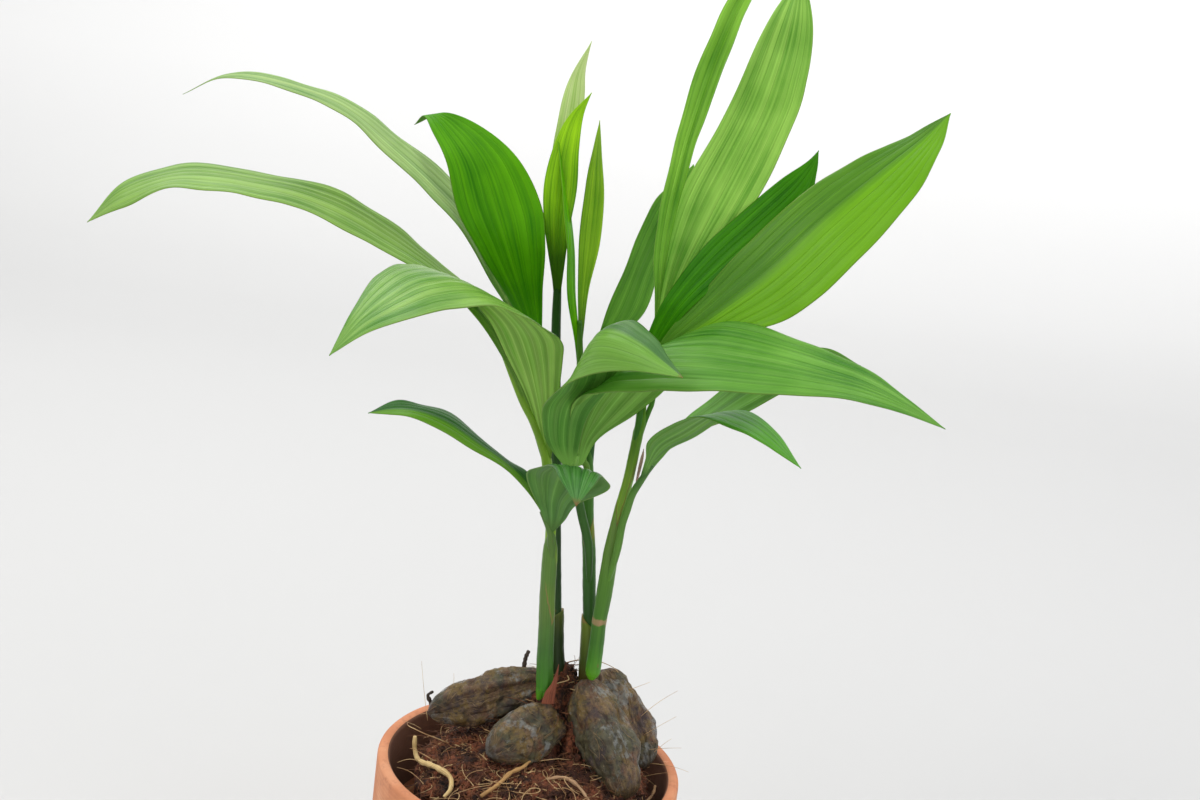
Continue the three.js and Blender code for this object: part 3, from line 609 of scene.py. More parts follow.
# Each leaf is its stalk, a rod, and then its lobes. A lobe's rows are its left margin, its right
# margin and its arch. Six numbers have no arch, and three are the blade's point.
LEAVES = {
    "leaf_a_low": [
        [[-1.4, -1.6, 199.6, 1.4], [-2.2, -2.4, 204, 1.4], [-3, -3.4, 209, 1.2], [-7, -4, 217, 0.9]],
        [[-2.5, -4, 209, -3, -3, 208], [-7, -5, 217, -8, -3, 218, 0.05],
         [-14, -12, 228, -13, -5, 231, 0.08], [-24, -18, 238, -23, -6, 237, 0.1],
         [-35, -24, 245, -33, -8, 245, 0.1], [-47, -28, 252, -44, -11, 253, 0.1],
         [-57, -30, 256, -54, -16, 257, 0.08], [-66, -27, 255, -64, -21, 259, 0.05], [-74, -22, 253]],
        [[-2, -4, 209, -3, -3, 208], [2, -8, 216, -6, -5, 215, 0.05], [6, -16, 226, -10, -9, 224, 0.08],
         [17, -30, 239, -14, -19, 237, 0.05], [14, -46, 249, -6, -36, 247, 0.06],
         [11, -58, 249, -1, -52, 248, 0.1], [6, -64, 243]],
    ],
    "leaf_a_high": [
        [[-2.4, 1.4, 199.6, 1.9], [-2.7, 1, 206, 2], [-3.5, 0.6, 214.6, 2], [-5.8, 0.5, 224.5, 2],
         [-8.1, 0.5, 237.5, 1.9], [-14, 0.5, 250, 1.6], [-20, 1, 259, 1.3], [-30, 4, 277, 0.9]],
        [[-9, 0, 235, -8, 0, 236], [-20, 0, 260, -18, 2, 261], [-33, 0, 280, -30, 6, 283],
         [-43, 0, 291, -39, 10, 292], [-58, -3, 302, -54, 14, 302], [-79, -10, 313, -73, 14, 315],
         [-99, -16, 322, -94, 10, 326], [-119, -20, 327, -118, 4, 331], [-150, -22, 327, -147, 0, 332],
         [-168, -22, 318, -171, -6, 324], [-182, -16, 309]],
        [[-6, 0, 236, -8, 0, 236], [-6, -5, 257, -17, 0, 258], [-6, -8, 278, -27, 0, 275],
         [-7, -14, 287, -36, 3, 288], [-13, -24, 294, -51, 6, 298, 0.02],
         [-29, -44, 305, -61, -14, 308, 0.05], [-44, -58, 306, -68, -36, 313, 0.06],
         [-55, -72, 305, -73, -56, 311, 0.05], [-68, -84, 302, -76, -74, 306], [-80, -92, 294]],
    ],
    "leaf_b_wide": [
        [[-7.4, 14.2, 250, 1.4], [-11, 15, 262, 1.4], [-17, 14, 277, 1.2], [-31, 15, 294, 0.8]],
        [[-18, 14, 276, -16, 14, 277], [-35, 15, 296, -31, 18, 297], [-51, 8, 320, -41, 30, 318],
         [-73, 2, 340, -65, 24, 340], [-98, 0, 358, -96, 18, 359], [-123, 0, 364, -124, 12, 366],
         [-141, 2, 364, -140, 6, 365], [-155, 4, 356]],
        [[-18, 14, 276, -15, 12, 277], [-31, 12, 295, -17, 10, 297], [-44, 8, 314, -18, 6, 317],
         [-52, 8, 326, -21, 8, 331], [-58, 12, 342, -31, 12, 346], [-65, 20, 351, -45, 18, 355],
         [-70, 30, 355, -61, 26, 358], [-74, 38, 350]],
    ],
    "leaf_b_young": [
        [[-6, 12.2, 249, 1.8], [-8.2, 13, 264, 1.8], [-10.5, 14, 283.6, 1.75], [-11.5, 14, 295, 1.6],
         [-12.5, 13.5, 307, 1.2], [-14, 12, 318, 0.7]],
        [[-13, 14, 297, -11, 15, 297], [-18, 21, 320, -12, 25, 320], [-20, 25, 346, -11, 31, 344],
         [-19, 28, 366, -11, 34, 367], [-17, 32, 377, -12, 35, 379], [-11, 36, 390]],
        [[-12.8, 13.2, 298, -10.4, 12.6, 299], [-19, 8, 323, -10, 8, 323], [-21, 6, 338, -9, 8, 339],
         [-20, 8, 351, -10, 8, 354], [-16, 10, 364, -10, 9, 366], [-8, 9, 375]],
    ],
    "leaf_c_young": [
        [[8, 9.3, 230.8, 1.2], [6.3, 8, 235, 1.2], [5, 8, 240, 1.2], [3.2, 8, 251, 1.2], [1.4, 8, 263, 1.2],
         [-0.3, 8, 277, 1.2], [-2, 8, 290, 0.8]],
        [[0.2, 8, 267, 1.2, 8, 267], [-2.7, 8, 281, -0.8, 8, 281], [-8, 4, 302, -5, 10, 301],
         [-11, 2, 325, -8, 12, 321], [-14, 4, 339, -12, 12, 338], [-16, 6, 348, -15, 10, 348],
         [-18, 8, 356]],
        [[-1, 8, 278, 0, 8, 278], [-4, 9, 302, 0, 12, 301], [-6, 11, 320, 2, 14, 320],
         [-6, 13, 339, 1, 18, 337], [-5, 15, 353, -2, 20, 353], [-4, 18, 364]],
    ],
    "leaf_c_back": [
        [[8.8, 11.9, 230.8, 1.3], [8.4, 11.8, 240, 1.3], [8.4, 12, 246, 1.3], [8.4, 13, 255, 1.3],
         [7, 16, 272, 1.1], [8, 17.5, 284, 0.8]],
        [[5, 17, 279, 8, 17, 279], [8, 18, 294, 21, 24, 290], [13, 20, 312, 26, 28, 309],
         [19, 25, 333, 32, 32, 324], [26, 30, 342, 37, 36, 338], [33, 36, 349]],
    ],
    "leaf_c_front": [
        [[12.8, 6.2, 199, 1.6], [11, 6, 206, 1.7], [8.3, 4, 214.4, 1.7], [5.2, 0, 225.7, 1.6],
         [3, -2, 234, 1.5], [3.5, -3, 241, 1]],
        [[3, -3, 236, -1, -3, 236], [4, -5, 246, -9, -5, 246, 0.05], [6, -8, 259, -11, -11, 259, 0.1],
         [14.5, -12, 277, -8, -23, 269, 0.05], [11, -20, 295, -1, -38, 280, 0.12],
         [17, -36, 304, 8, -51, 288, 0.28], [25, -50, 303, 18, -61, 293, 0.2],
         [30, -60, 300, 27, -67, 295, 0.1], [36, -71, 296]],
        [[6, -2, 237, 4, -2, 236], [11, -1, 248, 1, -4, 247], [24, 0, 260, -1, -9, 261, 0.05],
         [34, 0, 272, 3, -21, 270, 0.1], [36, -4, 289, 14, -35, 277, 0.12],
         [48, -14, 302, 37, -46, 284, 0.07], [65, -26, 305, 60, -54, 289, 0.03],
         [87, -38, 303, 86, -58, 292], [106, -48, 298, 107, -58, 291], [129, -54, 285]],
    ],
    "leaf_d_low": [
        [[23.2, -1.4, 203, 1.4], [23.9, -1.7, 214.7, 1.4], [25, -2, 221.3, 1.4], [26.1, -2.5, 227.8, 1.4],
         [28.4, -3, 233.5, 1.3], [32, -3.5, 241, 0.9]],
        [[30, -3, 234, 28, -2, 233], [32, -5, 242, 29, -10, 245], [38, -5, 249, 29, -16, 254],
         [47, -4, 255, 35, -18, 261], [59, -9, 268, 46, -24, 268, 0.03], [66, -24, 272, 59, -38, 270, 0.05],
         [74, -38, 270, 68, -50, 270, 0.05], [82, -54, 264]],
        [[30, -1, 234, 29, -2, 235], [35, 4, 241, 33, 1, 242], [43, 7, 250, 41, 15, 252],
         [57, 9, 257, 50, 24, 259], [72, 14, 266, 64, 28, 274], [87, 14, 277, 81, 26, 284],
         [97, 16, 283, 93, 22, 288], [106, 18, 284]],
    ],
    "leaf_d_right": [
        [[24.9, 1.9, 252.6, 1.2], [24.8, 1, 260, 1.2], [24.6, 0.5, 265, 1.2], [24.6, -3, 277, 1.1],
         [27, -8, 289, 0.8]],
        [[22, -6, 285, 26, -6, 284], [28, -5, 306, 38, -10, 305], [39, -1, 325, 53, -8, 321],
         [51, 3, 339, 65, -4, 333.5], [64, 7, 352.5, 75, 2, 346], [73, 10, 360, 77, 8, 357], [77, 14, 364]],
        [[26, -8, 285, 29, -9, 285], [37, -9, 305, 55, -22, 300], [54, -8, 329.5, 76, -26, 313],
         [70, -4, 349, 94, -22, 334], [88, 4, 362.5, 110, -12, 355], [107, 10, 374, 119, 1, 372],
         [122, 12, 384]],
    ],
    "leaf_d_tall": [
        [[26.7, 4, 252.6, 1], [28.2, 4, 259.6, 1], [29, 4, 264, 1], [29, 4.6, 276, 1], [28, 5, 290, 0.9]],
        [[27, 5, 285, 28, 5, 285], [25, 2, 303, 27, 6, 302], [22, 0, 326, 28, 6, 328],
         [24, 0, 358, 32, 7, 361], [28, 0, 387, 38, 7, 388], [32, -2, 403, 42, 6, 405],
         [38, -4, 419, 46, 4, 420], [48, -6, 432]],
        [[28, 6, 285, 30, 6, 285], [25.5, 9, 304, 37, 4, 309], [28, 12, 338, 56, 5, 343],
         [39, 12, 368, 66, 5, 375], [45, 12, 386, 68, 5, 391], [50, 14, 403, 68, 8, 406],
         [56, 17, 416, 65, 12, 418], [61, 18, 426]],
    ],
}

# Each lobe's look: ribs, darkest and lightest green of its upper face (sRGB), gloss, and options.
# The halves option is painted light and shade: a lit colour and a shaded colour over the two sides of a
# blade.
LOBE_LOOKS = {
    "leaf_a_low": [
        (5, (32, 98, 26), (74, 146, 42), 0.30, {"lit_and_shaded_halves": ((124, 182, 44), (42, 102, 32), 0.28)}),
        (5, (46, 106, 42), (92, 152, 70), 0.26,
         {"fold": 0.10, "tip": 2.5, "veins": 0.8, "under": ((82, 136, 62), (128, 182, 90))}),
    ],
    "leaf_a_high": [
        (6, (88, 140, 44), (150, 192, 88), 0.36, {"veins": 0.6}),
        (8, (74, 136, 38), (148, 192, 90), 0.24,
         {"fold": 0.04, "veins": 0.5, "under": ((128, 192, 66), (196, 240, 120))}),
    ],
    "leaf_b_wide": [
        (5, (100, 150, 68), (172, 204, 122), 0.38, {"veins": 0.6}),
        (8, (52, 126, 2), (100, 178, 6), 0.42, {"shine": 0.12}),
    ],
    "leaf_b_young": [
        (4, (158, 208, 84), (230, 248, 178), 0.40, {}),
        (5, (84, 152, 6), (176, 234, 26), 0.40, {"foot": 34, "shine": 0.2}),
    ],
    "leaf_c_young": [
        (3, (66, 146, 2), (130, 212, 8), 0.40, {"foot": 22, "shine": 0.12}),
        (4, (88, 150, 10), (172, 220, 46), 0.40, {"foot": 22, "shine": 0.2}),
    ],
    "leaf_c_back": [(6, (70, 136, 30), (138, 202, 74), 0.40, {})],
    "leaf_c_front": [
        (6, (70, 128, 46), (140, 188, 90), 0.28,
         {"lit_and_shaded_halves": ((58, 104, 62), (122, 176, 64), 0.42), "tip": 1.5,
          "under": ((92, 160, 62), (150, 208, 98))}),
        (8, (62, 130, 26), (122, 182, 70), 0.34, {"fold": 0.07, "under": ((118, 180, 66), (176, 226, 112))}),
    ],
    "leaf_d_low": [
        (5, (60, 138, 28), (116, 200, 50), 0.32, {"fold": 0.08, "under": ((90, 148, 52), (138, 196, 78))}),
        (5, (70, 122, 44), (118, 162, 80), 0.38, {"under": ((82, 144, 44), (122, 180, 70))}),
    ],
    "leaf_d_right": [
        (6, (30, 100, 0), (72, 152, 4), 0.34, {"shine": 0.1}),
        (8, (74, 138, 12), (128, 190, 28), 0.36,
         {"shine": 0.2, "lit_and_shaded_halves": ((70, 122, 36), (116, 180, 22), 0.42)}),
    ],
    "leaf_d_tall": [
        (3, (72, 146, 20), (170, 232, 84), 0.36, {"fold": 0.10}),
        (8, (78, 152, 28), (174, 226, 100), 0.34, {"fold": 0.08, "veins": 0.5}),
    ],
}

BLADE = 0.45
STALK_ROOT = 20.0
COLUMNS_PER_RIB = 6
ROWS_PER_SPAN = 14


def surface_normals(grid):
    """Unit normals of a grid of points, on the side that is the leaf's upper face."""
    down = np.gradient(grid, axis=0)
    across = np.gradient(grid, axis=1)
    normals = unit(np.cross(across, down))
    flat = np.linalg.norm(np.cross(across, down), axis=2) < 1e-6
    for i, j in zip(*np.nonzero(flat)):
        normals[i, j] = normals[i - 1, j] if i else normals[1, j]
    return normals


def full_row(row):
    """A lobe's row with both margins and its arch."""
    row = row * 2 if len(row) == 3 else row
    return row if len(row) == 7 else row + [0]


def lamina(builder, stations, ribs, seed, slots, fold=0.07):
    """A pleated blade between its two margins, with real thickness. slots are its two sides'.

    fold is the depth of a pleat as a share of a rib's width.
    """
    rows = smooth_rows([full_row(row) for row in stations], ROWS_PER_SPAN)
    left, right, arch = rows[:, :3], rows[:, 3:6], rows[:, 6]
    middle = (left + right) / 2
    along = unit(np.gradient(middle, axis=0))
    across = right - left
    width = np.linalg.norm(across, axis=1)
    side = unit(across)
    side[-1] = side[-2]
    width = np.maximum(width, 0.3)
    normal = unit(np.cross(side, along))
    columns = ribs * COLUMNS_PER_RIB + 1
    s = np.linspace(0, 1, columns)
    lift = (4 * s * (1 - s))[None, :] * (arch * width)[:, None]
    grid = middle[:, None] + side[:, None] * ((s - 0.5)[None, :, None] * width[:, None, None])
    grid = grid + normal[:, None] * lift[:, :, None]
    normals = surface_normals(grid)
    length = lengths_along(middle)
    share = length / length[-1]
    ends = np.minimum(1, share / 0.12) * np.minimum(1, (1 - share) / 0.10)
    uneven = s + 0.035 * np.sin(math.pi * s) * np.sin(2 * math.pi * 1.5 * s + seed)
    pleat = np.abs((uneven * ribs) % 1 - 0.5) * 2
    depth = fold * width / ribs * ends + 0.03
    heights = -(pleat**2)[None, :] * depth[:, None]
    flat_points = grid.reshape(-1, 3)
    wave = noise_at(flat_points, 16.0, seed).reshape(grid.shape[:2])
    edge = (np.abs(s - 0.5) * 2) ** 3
    loose = (0.25 + 1.0 * edge[None, :]) * ends[:, None]
    heights = heights + wave * loose * np.minimum(1, width / 14)[:, None]
    grid = grid + normals * heights[:, :, None]
    normals = surface_normals(grid)
    thick = BLADE * (1 - 0.45 * edge)[None, :] * np.minimum(1, 0.4 + width / 5)[:, None]
    top = grid + normals * thick[:, :, None] / 2
    bottom = grid - normals * thick[:, :, None] / 2
    count = len(rows)
    half = count * columns
    verts = np.concatenate([top.reshape(-1, 3), bottom.reshape(-1, 3)])
    faces = []
    face_slots = []
    for a, b, c, d in grid_faces(count, columns):
        faces.append((a, b, c, d))
        faces.append((half + a, half + d, half + c, half + b))
        face_slots += slots
    rim = [i * columns for i in range(count)]
    rim += [(count - 1) * columns + j for j in range(1, columns)]
    rim += [i * columns + columns - 1 for i in range(count - 2, -1, -1)]
    rim += list(range(columns - 2, 0, -1))
    for a, b in zip(rim, rim[1:] + rim[:1]):
        faces.append((a, b, half + b, half + a))
        face_slots.append(slots[0])
    uvs = [(uneven[j], length[i] / 100) for i in range(count) for j in range(columns)]
    builder.add(verts, faces, uvs + uvs, face_slots)
    return float(length[-1])


def paler(colour, amount):
    """A colour moved towards the pale grey-green of a leaf's underside."""
    return tuple((1 - amount) * c + amount * g for c, g in zip(colour, (150, 172, 118)))


def base_point(first):
    """A thin start for a stalk, on the middle of its stem and well below its first point."""
    best = None
    height = first[2] - STALK_ROOT
    for stem in STEMS.values():
        rows = smooth_rows(stem, 6)
        if rows[-1, 2] < height or rows[0, 2] > height:
            continue
        x = np.interp(height, rows[:, 2], rows[:, 0])
        y = np.interp(height, rows[:, 2], rows[:, 1])
        apart = math.hypot(x - first[0], y - first[1])
        if best is None or apart < best[0]:
            best = (apart, x, y)
    return [best[1], best[2], height, first[3] * 0.45]


STALK_COLOURS = {
    "leaf_a_low": ((86, 120, 50), (84, 124, 54)),
    "leaf_a_high": ((132, 174, 52), (128, 172, 56)),
    "leaf_b_wide": ((96, 138, 48), (108, 150, 54)),
    "leaf_b_young": ((36, 74, 26), (40, 82, 18)),
    "leaf_c_young": ((96, 142, 40), (44, 96, 20)),
    "leaf_c_back": ((56, 104, 44), (56, 110, 36)),
    "leaf_c_front": ((56, 100, 36), (150, 206, 96)),
    "leaf_d_low": ((88, 134, 48), (64, 106, 54)),
    "leaf_d_right": ((68, 126, 36), (76, 132, 36)),
    "leaf_d_tall": ((86, 144, 44), (96, 152, 48)),
}


def make_leaf(name, leaf, looks, seed):
    """A leaf's lobes and stalk as one object, with two materials to a lobe and one for the stalk."""
    builder = Builder()
    materials = []
    stalk, *lobes = leaf
    low, high = STALK_COLOURS[name]
    for k, (stations, look) in enumerate(zip(lobes, looks)):
        ribs, dark, light, gloss, options = look
        # halves: painted light and shade over the two sides of the blade.
        lit_and_shaded_halves = options.get("lit_and_shaded_halves")
        if lit_and_shaded_halves:
            lit_and_shaded_halves = (srgb(*lit_and_shaded_halves[0]), srgb(*lit_and_shaded_halves[1]), lit_and_shaded_halves[2])
        slots = [2 * k, 2 * k + 1]
        length = lamina(builder, stations, ribs, seed + k * 3.1, slots, options.get("fold", 0.05))
        tip = length - options["tip"] if "tip" in options else None
        veins, shine = options.get("veins", 0.42), options.get("shine", 0.3)
        foot = (srgb(*high), options.get("foot", 9))
        materials.append(leaf_material(f"{name}_{k}_upper", srgb(*dark), srgb(*light), ribs, False,
                                       gloss, lit_and_shaded_halves, tip, veins, foot, shine))
        deep, pale = options.get("under", (paler(dark, 0.2), paler(light, 0.25)))
        materials.append(leaf_material(f"{name}_{k}_under", srgb(*deep), srgb(*pale), ribs, True,
                                       gloss + 0.12, None, tip, 0.42, (srgb(*high), 9)))
    path = smooth_rows([base_point(stalk[0])] + stalk, 12)
    bottom, top = stalk[0][2], stalk[-1][2]
    stops = [(bottom, low), ((bottom + top) / 2, low), (top, high)]
    materials.append(stem_material(f"{name}_stalk", stops))
    tube(builder, path[:, :3], path[:, 3] * 1.03, 20, len(materials) - 1, seed)
    builder.finish(f"{name}_fine", materials, [name])


# Colours up each stem, its pointed sheath edges and its scars.
STEM_LOOKS = {
    "stem_a": (
        [(136, (98, 176, 24)), (144, (62, 124, 30)), (160, (64, 108, 42)), (176, (92, 122, 54)),
         (199, (94, 130, 54))],
        [(171, 2.2, 3.6, 190, (104, 136, 52), (146, 116, 72)),
         (184, 3.2, 5.0, 204, (150, 186, 58), (120, 140, 60))],
        [],
    ),
    "stem_b": ([(134, (44, 82, 30)), (190, (36, 66, 26)), (248, (52, 92, 38))], [], []),
    "stem_c": (
        [(140, (52, 96, 36)), (172, (46, 88, 34)), (200, (68, 120, 42)), (230, (72, 124, 42))],
        [(199, 11.4, 2.4, 212, (74, 118, 40), (146, 112, 62)),
         (217, 14.0, -5.0, 200, (146, 150, 52), (132, 92, 52))],
        [],
    ),
    "stem_d": (
        [(147, (100, 176, 26)), (153, (70, 134, 28)), (164, (60, 110, 34)), (190, (82, 128, 40)),
         (214, (112, 146, 64)), (224, (124, 162, 54)), (252, (106, 156, 40))],
        [(214, 22.0, 6.0, 244, (134, 172, 54), (134, 84, 62))],
        [(172.5, 2.8, (178, 136, 106))],
    ),
}

# The cut feet of two stems stand out from the root ball: rows that take the place of the lowest.
STEM_FEET = {
    "stem_a": [[0.6, -0.4, 137.6, 0.8], [1.5, -0.2, 141.5, 2.5]],
    "stem_d": [[20.2, 3.6, 147.2, 1.2], [20.3, 3.8, 149.2, 2.5]],
}


# A stem narrows to a point past its last row: (mm further on, share of the last radius).
STEM_POINT = [(5, 0.75), (10, 0.25)]


def make_stem(name, stem, seed):
    feet = STEM_FEET.get(name, [])
    rows = feet + [row for row in stem if not feet or row[2] > feet[-1][2]]
    end, before = np.array(rows[-1]), np.array(rows[-2])
    heading = (end[:3] - before[:3]) / np.linalg.norm(end[:3] - before[:3])
    rows = rows + [[*(end[:3] + heading * reach), end[3] * share] for reach, share in STEM_POINT]
    path = smooth_rows(rows, 14)
    stops, splits, scars = STEM_LOOKS[name]
    builder = Builder()
    tube(builder, path[:, :3], path[:, 3], 32, 0, seed, wobble=0.10)
    builder.finish(f"{name}_fine", [stem_material(name, stops, splits, scars)], [name])


def nut_frame(nut):
    start = np.array(nut["from"], float)
    end = np.array(nut["to"], float)
    axis = unit(end - start)
    side = unit(np.cross(axis, [0.0, 0.0, 1.0]))
    up = np.cross(side, axis)
    return start, end, axis, side, up


# A nut's outline: the share of its length, and of its radius there.
NUT_OUTLINE = [(0.0, 0.0), (0.04, 0.45), (0.16, 0.8), (0.36, 0.98), (0.55, 1.0), (0.76, 0.86),
               (0.93, 0.5), (1.0, 0.0)]


def nut_surface(nut, seed, rows=160, sides=180):
    """Points of a nut's lumpy, keeled husk."""
    start, end, axis, side, up = nut_frame(nut)
    length = np.linalg.norm(end - start)
    t = (1 - np.cos(np.linspace(0, math.pi, rows))) / 2
    outline = smooth_rows([(a, r) for a, r in NUT_OUTLINE], 30)
    radius = np.interp(t, outline[:, 0], outline[:, 1]) * nut["radius"]
    radius[0] = radius[-1] = 0.02
    angle = np.arange(sides) * 2 * math.pi / sides
    out = side[None] * np.cos(angle)[:, None] + up[None] * np.sin(angle)[:, None]
    verts = start + axis * (t * length)[:, None, None] + out[None] * radius[:, None, None]
    verts = verts.reshape(-1, 3)
    outs = np.broadcast_to(out[None], (rows, sides, 3)).reshape(-1, 3)
    belly = np.repeat(np.clip(radius / nut["radius"], 0, 1), sides)
    keels = np.tile(np.cos(3 * angle + seed), rows) * 1.3
    lumps = noise_at(verts, 13.0, seed) * 2.4 + noise_at(verts, 5.0, seed + 1) * 1.2
    matted = noise_at(verts, 2.6, seed + 4) * 0.45 + noise_at(verts, 1.0, seed + 2) * 0.16
    cells = [noise.voronoi(Vector(v) / 8.5 + Vector((seed, 0, 0)))[0] for v in verts]
    creases = np.clip(np.array([far - near for near, far, *_ in cells]) / 0.22, 0, 1) - 1
    ridges = np.array([noise.noise(Vector((math.cos(a) * 4, math.sin(a) * 4, ti * 2.4 + seed)))
                       for ti in t for a in angle])
    push = (keels + lumps + ridges * 0.8 + matted + creases * 0.35) * belly - 0.6 * belly
    return verts + outs * push[:, None], outs, t, rows, sides


def nut_fibres(surface, count, rng, builder):
    """Loose husk fibres that lie along a nut."""
    verts, outs, t, rows, sides = surface
    for _ in range(count):
        row, column = int(rng.integers(12, rows - 30)), float(rng.uniform(0, sides))
        drift = rng.normal(0, 1.3)
        lift = rng.uniform(0.0, 0.25)
        points = []
        for k in range(9):
            across = int(column + drift * k) % sides
            place = min(rows - 6, row + int(k * rng.uniform(1.2, 2.0))) * sides + across
            rise = lift * math.sin(math.pi * k / 8) + 0.05
            points.append(verts[place] + outs[place] * rise)
        points = smooth_rows([tuple(point) for point in points[::2]], 4)
        tube(builder, points, np.linspace(1, 0.5, len(points)) * rng.uniform(0.07, 0.13), 5)


def make_nut(name, nut, material, seed, fibres, rng):
    surface = nut_surface(nut, seed)
    verts, _, t, rows, sides = surface
    faces = grid_faces(rows, sides, wrap=True)
    faces.append(tuple(range(sides - 1, -1, -1)))
    faces.append(tuple(range((rows - 1) * sides, rows * sides)))
    uvs = [(j / sides, ti * 0.5) for ti in t for j in range(sides)]
    builder = Builder()
    builder.add(verts, faces, uvs)
    builder.finish(f"{name}_fine", [material], [name])
    nut_fibres(surface, 130, rng, fibres)
    return verts


# ---- root ball ------------------------------------------------------------------------------

BALL_X = 2.0
BALL_RADIUS = 47.0
BALL_SHOULDER = 100.0
BALL_TOP = 118.0
PEAK_X = 9.0
PEAK_Y = 13.0
PEAK_RISE = 31.0
PEAK_SPREAD = 10.5
CREVICE_X = 11.5
CREVICE_Y = -4.0
CREVICE_DEPTH = 11.0
FIBRE_LIMIT = 52.0


def peak_height(x, y):
    """How far the root ball rises above its mound where the stems stand, less the crevice in front."""
    peak = PEAK_RISE * np.exp(-((x - PEAK_X) ** 2 + (y - PEAK_Y) ** 2) / (2 * PEAK_SPREAD**2))
    crevice = CREVICE_DEPTH * np.exp(-((x - CREVICE_X) ** 2) / 5.0 - ((y - CREVICE_Y) ** 2) / 90.0)
    return peak - crevice


def ball_height(x, y):
    """Height of the smooth mound at a place, or None outside it."""
    reach = math.hypot(x - BALL_X, y) / BALL_RADIUS
    if reach >= 1:
        return None
    dome = (BALL_TOP - BALL_SHOULDER) * math.sqrt(1 - reach**2)
    return BALL_SHOULDER + dome + float(peak_height(x, y))


def make_root_ball(material):
    foot = POT_BASE_RADIUS - POT_WALL - 3.5 - BALL_X
    profile = [(0, POT_FLOOR + 0.5), (foot, POT_FLOOR + 0.5), (BALL_RADIUS - 3, BALL_SHOULDER - 34)]
    side_steps = 12
    for i in range(1, side_steps):
        t = i / side_steps
        profile.append((BALL_RADIUS - 3 + 3 * t, BALL_SHOULDER - 34 + 34 * t))
    dome_steps = 70
    for i in range(dome_steps):
        angle = math.pi / 2 * i / dome_steps
        top = BALL_SHOULDER + (BALL_TOP - BALL_SHOULDER) * math.sin(angle)
        profile.append((BALL_RADIUS * math.cos(angle), top))
    profile.append((0, BALL_TOP))
    builder = Builder()
    turned(builder, profile, 220)
    verts = builder.verts[0]
    high = np.clip((verts[:, 2] - 66) / 26, 0, 1)
    outward = unit(verts - np.array([0, 0, 80.0]))
    clods = noise_at(verts, 7.0, 1.0) * 2.2 + noise_at(verts, 2.6, 2.0) * 1.5
    clods = clods + noise_at(verts, 1.2, 3.0) * 0.8
    verts[:, 0] += BALL_X
    on_top = verts[:, 2] > BALL_SHOULDER
    verts[:, 2] += np.where(on_top, peak_height(verts[:, 0], verts[:, 1]), 0)
    verts += outward * (clods * high - 0.8 * high)[:, None]
    builder.verts[0] = verts
    builder.finish("soil_fine", [material], ["soil"])


def crumb(builder, centre, size, rng):
    """A small rough lump: a stretched octahedron with shifted corners."""
    axes = rng.normal(size=(3, 3))
    axes = np.linalg.qr(axes)[0] * (size * rng.uniform(0.5, 1.0, 3))[:, None]
    corners = [axes[0], axes[1], -axes[0], -axes[1], axes[2], -axes[2]]
    verts = np.array(corners) * rng.uniform(0.75, 1.2, (6, 1)) + centre
    faces = [(0, 1, 4), (1, 2, 4), (2, 3, 4), (3, 0, 4), (1, 0, 5), (2, 1, 5), (3, 2, 5), (0, 3, 5)]
    if np.linalg.det(axes) < 0:
        faces = [face[::-1] for face in faces]
    builder.add(verts, faces, [(0.5, 0.5)] * 6)


def in_nut(p, margin=0.5):
    """Whether a point is inside one of the nuts."""
    for nut in NUTS.values():
        start, end, axis, _, _ = nut_frame(nut)
        length = np.linalg.norm(end - start)
        t = float(np.dot(p - start, axis)) / length
        if 0 < t < 1:
            limit = np.interp(t, *zip(*NUT_OUTLINE)) * nut["radius"]
            if np.linalg.norm(p - start - axis * t * length) < limit + margin:
                return True
    return False


def scatter_crumbs(count, material, nut_points):
    rng = np.random.default_rng(11)
    builder = Builder()
    for _ in range(count):
        reach = BALL_RADIUS * math.sqrt(rng.uniform(0, 0.97))
        angle = rng.uniform(0, 2 * math.pi)
        x, y = BALL_X + reach * math.cos(angle), reach * math.sin(angle)
        z = ball_height(x, y)
        if z is None or in_nut(np.array([x, y, z])):
            continue
        crumb(builder, np.array([x, y, z - 0.5]), 0.4 + 2.3 * rng.uniform(0, 1) ** 2.5, rng)
    for point in nut_points[rng.integers(0, len(nut_points), count)]:
        z = ball_height(point[0], point[1])
        if z is not None and -1 < point[2] - z < 3.5 * rng.uniform(0, 1) ** 2:
            crumb(builder, point, rng.uniform(0.5, 1.8), rng)
    builder.finish("soil_crumbs", [material], ())


def scatter_fibres(name, count, material, seed, radius, reach_out, longest):
    """Curved coir fibres and hair roots that lie on and stand out of the root ball."""
    rng = np.random.default_rng(seed)
    builder = Builder()
    for _ in range(count):
        reach = BALL_RADIUS * math.sqrt(rng.uniform(0, 1.0)) * 0.99
        angle = rng.uniform(0, 2 * math.pi)
        x, y = BALL_X + reach * math.cos(angle), reach * math.sin(angle)
        z = ball_height(x, y)
        if z is None or in_nut(np.array([x, y, z]), -1.0):
            continue
        heading = rng.uniform(0, 2 * math.pi)
        pitch = rng.uniform(-0.1, reach_out)
        length = rng.uniform(4, longest)
        bend = rng.normal(0, 0.2)
        points = [np.array([x, y, z - 0.8])]
        steps = 9
        for k in range(steps):
            step = length / steps
            level = math.cos(pitch)
            direction = np.array([math.cos(heading) * level, math.sin(heading) * level, math.sin(pitch)])
            points.append(points[-1] + direction * step)
            heading += bend + rng.normal(0, 0.16)
            pitch -= 0.10
            away = math.hypot(points[-1][0], points[-1][1])
            if away > FIBRE_LIMIT:
                break
        if len(points) < 4:
            continue
        points = np.array(points)
        ground = np.array([ball_height(px, py) or BALL_SHOULDER - 2 for px, py, _ in points])
        points[:, 2] = np.maximum(points[:, 2], ground - 0.2)
        radii = radius * rng.uniform(0.6, 1.4) * np.linspace(1, 0.4, len(points))
        path = smooth_rows([tuple(point) for point in points], 2)
        tube(builder, path, np.repeat(radii, 2)[:len(path)], 5)
    builder.finish(name, [material], ())


